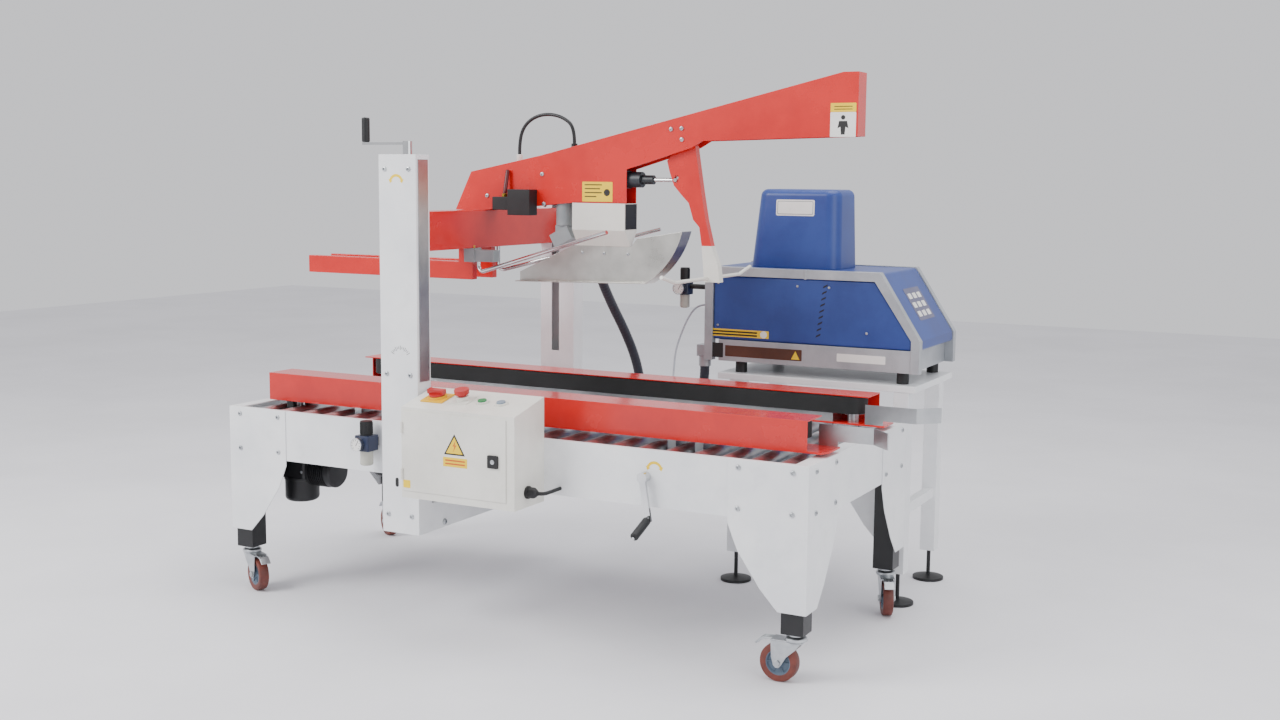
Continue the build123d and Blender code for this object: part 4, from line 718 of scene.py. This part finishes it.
# A thin black plate closes the shroud's open end: painted shade where the opening is dark inside.
opening_shade = box(bmesh.new(), 223, 223.6, -34, 34, 1103, 1174)
shape("shroud_curtain", "head", opening_shade, nylon)
arm_face = front("top_arm", 130, 1208)
label = flat(bmesh.new(), card(82, 180, 1180, 1236), (0, arm_face, 0), *FACE, *VINYL)
flat(label, card(822, 892, 1422, 1445), (0, arm_face, 0), *FACE, *VINYL)
shape("arm_labels_yellow", "head", label, yellow_vinyl, sharp=20)
label = flat(bmesh.new(), card(822, 892, 1358, 1421.5), (0, arm_face, 0), *FACE, *VINYL)
shape("arm_label_white", "head", label, white_vinyl, sharp=20)
printing = bmesh.new()
for row, (u0, u1) in enumerate(((90, 146), (90, 140), (90, 146), (90, 128))):
    flat(printing, card(u0, u1, 1226 - row * 11, 1229 - row * 11, 1), (0, arm_face, 0), *FACE, *PRINT)
flat(printing, circle(162, 1206, 10, 20), (0, arm_face, 0), *FACE, *PRINT)
flat(printing, circle(857, 1408, 6, 16), (0, arm_face, 0), *FACE, *PRINT)
flat(printing, [(846, 1399), (868, 1399), (872, 1380), (864, 1384), (862, 1364), (852, 1364), (850, 1384), (842, 1380)],
     (0, arm_face, 0), *FACE, *PRINT)
for row in range(2):
    flat(printing, card(832, 882, 1428 + row * 7, 1430 + row * 7, 0.9), (0, arm_face, 0), *FACE, *PRINT)
shape("arm_label_print", "head", printing, ink, sharp=20)

# The control box: cream enamelled sheet with a door. A warning triangle and a yellow card are stuck on the door, and
# the switches on the sloped top stand on yellow and white collars.
yellow_abs = finish("ABS, moulded, yellow", "#E0A800", "#EDBB12", 0.35, grain=3, depth=0.02)
split("control_box", "base", lambda middle, size: ("cream_paint", cream, 0.6) if max(size) > 90
      else ("grey_plastic", yellow_abs, 1.5) if size.x > 50
      else ("white_paint", white_abs, 0.8) if middle.x < 60 else ("black_plastic", nylon, 0.8))
leaf = box(bmesh.new(), -177, 150, -539, -536, 411, 627)
shape("door_leaf", "door", leaf, cream, 0.8, replaces=("box_door",))
knuckles = bmesh.new()
for z in (441, 567):
    turn(knuckles, (-178, -541, z), (0, 0, 1), [(0, 0), (3.5, 0), (3.5, 30), (0, 30)], 20)
shape("door_knuckles", "door", knuckles, cream, 0.4)
door_face = front("box_door", -9, 560)
sign = flat(bmesh.new(), [(-42, 522), (24, 522), (-9, 578)], (0, door_face, 0), *FACE, *VINYL)
flat(sign, card(96, 128, 499, 533, 3), (0, door_face, 0), *FACE, 0, 4.6)
shape("door_sign_border", "door", sign, ink, sharp=20)
sign = flat(bmesh.new(), [(-35, 526), (17, 526), (-9, 570)], (0, door_face, 0), *FACE, 0.4, 0.7)
flat(sign, card(-45, 31, 490, 515, 1.5), (0, door_face, 0), *FACE, *VINYL)
flat(sign, card(-175, -152, 419, 440, 1.5), (0, front("box_door", -160, 430), 0), *FACE, *VINYL)
shape("door_sign_yellow", "door", sign, yellow_vinyl, sharp=20)
sign = flat(bmesh.new(), [(-5, 561), (-14, 545), (-8, 546), (-13, 530), (-2, 549), (-8, 548)], (0, door_face, 0), *FACE,
            0.7, 0.9)
for row in range(2):
    flat(sign, card(-38, 24, 496 + row * 9, 500 + row * 9, 1), (0, door_face, 0), *FACE, *PRINT)
shape("door_sign_bolt", "door", sign, orange_ink, sharp=20)
lock = turn(bmesh.new(), (112, door_face - 4.6, 516), (0, -1, 0), [(0, 0), (6, 0), (6, 0.9), (4.5, 1.4), (0, 1.4)], 24)
shape("door_lock", "door", lock, zinc)
profile = [(0, 0), (17, 0), (17, 6), (14.5, 7), (14.5, 20), (11, 27), (6, 31), (6, 34), (0, 34)]
gland = turn(bmesh.new(), (175, -474, 431), (1, 0, 0), profile, 24)
shape("cable_gland", "base", gland, nylon, sharp=40)

# Two air regulators: a black knurled knob, a navy body, a pressure gauge with a white face and a clear polycarbonate
# bowl. The plastic is glossy; the gauge has a chromed rim.
navy = finish("nylon, moulded, navy", "#141C33", "#1D2846", 0.35, grain=3, depth=0.03)
bowl = finish("polycarbonate, smoked", "#A8A79C", "#BDBCB0", 0.15, grain=4, depth=0.01, coat=0.5)
split("fittings", "base", lambda middle, size: ("black_plastic", nylon, 0.8) if abs(size.z - 40) < 0.6
      else ("grey_plastic", bowl, 1.0) if 41 < size.z < 43 and size.x < 40
      else ("zinc", zinc, 0.6) if 11 < size.y < 13 and size.x > 30
      else ("blue_paint", navy, 1.5) if 40 < size.z < 46 else ("black_plastic", nylon, 0.8))
for x, y, z, r in ((-395.6, -462, 501, 19), (171, 415, 908, 19)):
    dial = turn(bmesh.new(), (x, y, z), (0, -1, 0), [(0, 0), (r - 2.5, 0), (r - 2.5, 0.5), (0, 0.5)], 36)
    shape("gauge_face_%d" % x, "base", dial, white_vinyl)
    rim = turn(bmesh.new(), (x, y, z), (0, -1, 0), [(r - 2.5, 0), (r, 0), (r, 1.6), (r - 2.5, 1.6), (r - 2.5, 0)], 36)
    shape("gauge_rim_%d" % x, "base", rim, chrome)
    marks = flat(bmesh.new(), [(-1, -3), (1, -3), (8, 9), (7, 10)], (x, y, z), *FACE, 0.5, 0.8)
    for k in range(9):
        a = radians(-45 + 33.75 * k)
        flat(marks, [(d * cos(a) + w * sin(a), d * sin(a) - w * cos(a)) for d, w in ((11, 0.5), (15, 0.5), (15, -0.5),
                                                                                   (11, -0.5))],
             (x, y, z), *FACE, 0.5, 0.8)
    shape("gauge_marks_%d" % x, "base", marks, ink, sharp=20)
for x, y, z, r in ((-386, -426, 525, 17.3), (179, 447, 932, 14.4)):
    ridge = box(bmesh.new(), r - 0.8, r + 1.0, -0.9, 0.9, 4, 36)
    pattern = bmesh.new()
    for k in range(20):
        copy = ridge.copy()
        bmesh.ops.transform(copy, matrix=Matrix.Translation((x, y, z)) @ Matrix.Rotation(tau * k / 20, 4, "Z"),
                            verts=copy.verts)
        gather([copy], pattern)
    ridge.free()
    shape("knob_ridges_%d" % x, "base", pattern, nylon)

# The glue unit: a blue stoved body between two bent silver frames, with vent slots drawn in painted shade, a membrane
# keypad and blank or plainly barred labels, on a white stand with black levelling feet.
silver = finish("stoved paint, silver", "#9DA1A6", "#B4B8BC", 0.35, grain=2, depth=0.03, metal=0.35, coat=0.3)
split("glue_base", "base", lambda middle, size: ("aluminium", silver, 6.0) if max(size) > 300
      else ("black_plastic", nylon, 1.0))
split("glue_body", "base", lambda middle, size: ("blue_paint", blue, 7.0))
split("glue_lid", "lid", lambda middle, size: ("blue_paint", blue, 1.0))
split("glue_stand", "base", lambda middle, size: ("black_plastic", nylon, 1.0) if middle.z < 100
      else ("white_paint", powder, 1.5))
collars = box(bmesh.new(), 582, 590, 425.5, 455.5, 951, 981)
shape("frame_joint", "base", collars, silver, 2.0)
side_face = front("glue_body", 560, 860)
# The vent slots are thin black plates on the side face: painted shade where the openings are.
vents = bmesh.new()
for k in range(9):
    flat(vents, [(0, 0), (14, 7), (16, 13), (2, 6)], (621 + 2.4 * k, side_face, 779 + 18.5 * k), *FACE, 0, 0.6)
shape("vents", "base", vents, ink, sharp=20)
strip = flat(bmesh.new(), card(275, 470, 766, 789, 2), (0, side_face, 0), *FACE, *VINYL)
band_face = front("glue_base", 500, 722)
flat(strip, [(545, 709), (572, 709), (558.5, 734)], (0, band_face, 0), *FACE, 0.4, 0.7)
shape("unit_strip", "base", strip, yellow_vinyl, sharp=20)
bars = bmesh.new()
for row in range(2):
    flat(bars, card(282, 432, 770 + row * 9, 775 + row * 9, 1.5), (0, side_face, 0), *FACE, *PRINT)
flat(bars, card(262, 320, 700, 745, 2), (0, band_face, 0), *FACE, 0, 0.5)
shape("unit_strip_print", "base", bars, ink, sharp=20)
brown_vinyl = finish("vinyl label, brown", "#4A2A1C", "#5A3626", 0.4, grain=4, depth=0.01)
label = flat(bmesh.new(), card(327, 579, 705, 739, 2), (0, band_face, 0), *FACE, *VINYL)
shape("unit_label_brown", "base", label, brown_vinyl, sharp=20)
label = flat(bmesh.new(), card(690, 840, 712, 736, 2), (0, band_face, 0), *FACE, *VINYL)
flat(label, circle(453, 777.5, 11, 24), (0, side_face, 0), *FACE, *PRINT)
shape("unit_plates", "base", label, white_vinyl, sharp=20)

# The hood's blank plate leans with the hood: a white backing, a grey border and a white face.
hood_x, hood_z, lean = 442, 1137, 10 / 240
plate_up = Vector((0, lean, 1)).normalized()
plate_y = front("glue_lid", 500, hood_z) - 0.2
for name, slot, material, outline, low, high in (
        ("hood_plate_back", "white_paint", white_vinyl, card(0, 125, 0, 49, 5), 0, 1.0),
        ("hood_plate_border", "grey_plastic", casting, card(4, 121, 4, 45, 4), 1.0, 1.2),
        ("hood_plate", "white_paint", white_vinyl, card(6, 119, 6, 43, 3), 1.2, 1.4)):
    plate = flat(bmesh.new(), outline, (hood_x, plate_y, hood_z), (1, 0, 0), plate_up, low, high)
    shape(name, "lid", plate, material, sharp=20)

# The keypad and its nine keys lie on the body's slope.
slope = Vector((-125, 0, 195)).normalized()
foot = Vector((943, 545, 785)) + slope * 62 - Vector((195, 0, 125)).normalized() * 3
panel = flat(bmesh.new(), card(0, 150, 0, 108, 4), foot, (0, 1, 0), slope, 0, 0.8)
membrane = finish("polyester keypad, grey-violet", "#5B5A74", "#6C6B86", 0.45, grain=4, depth=0.01)
shape("keypad", "base", panel, membrane, sharp=20)
keys = bmesh.new()
for column in range(3):
    for row in range(3):
        flat(keys, card(14 + 44 * column, 44 + 44 * column, 12 + 30 * row, 30 + 30 * row, 3), foot, (0, 1, 0), slope,
             0.8, 1.6)
shape("keypad_keys", "base", keys, white_vinyl, sharp=20)
set_out("unit_screws", "base", screw_head(4, 2.5), [((x, side_face, z), (0, -1, 0)) for x, z in
        ((300, 930), (560, 930), (660, 930), (300, 800), (780, 800))], zinc)

# The floor and the light: pale card under a broad soft light from the operator's left, a weaker one from above and
# a faint one from the right.
sheet_of_card = bmesh.new()
bmesh.ops.create_grid(sheet_of_card, x_segments=1, y_segments=1, size=9)
card_mesh = bpy.data.meshes.new("floor")
sheet_of_card.to_mesh(card_mesh)
sheet_of_card.free()
floor = bpy.data.objects.new("floor", card_mesh)
bpy.context.collection.objects.link(floor)
floor.data.materials.append(finish("pale matt card", "#E6E5E9", "#EDECF0", 0.85, grain=6, depth=0.05, patch=900))
world = bpy.data.worlds.new("soft room")
world.use_nodes = True
world.node_tree.nodes["Background"].inputs[0].default_value = linear("#F0F0F4")
world.node_tree.nodes["Background"].inputs[1].default_value = 1.0
bpy.context.scene.world = world
for name, place, size, power in (("window", (-2600, -3600, 3600), 2.6, 230), ("overhead", (900, 600, 4200), 3.0, 110),
                                 ("fill", (3800, -1500, 1800), 2.4, 40)):
    lamp = bpy.data.objects.new(name, bpy.data.lights.new(name, "AREA"))
    lamp.data.size, lamp.data.energy = size, power
    lamp.location = at(*place)
    lamp.rotation_euler = (at(0, 0, 650) - lamp.location).to_track_quat("-Z", "Y").to_euler()
    bpy.context.collection.objects.link(lamp)
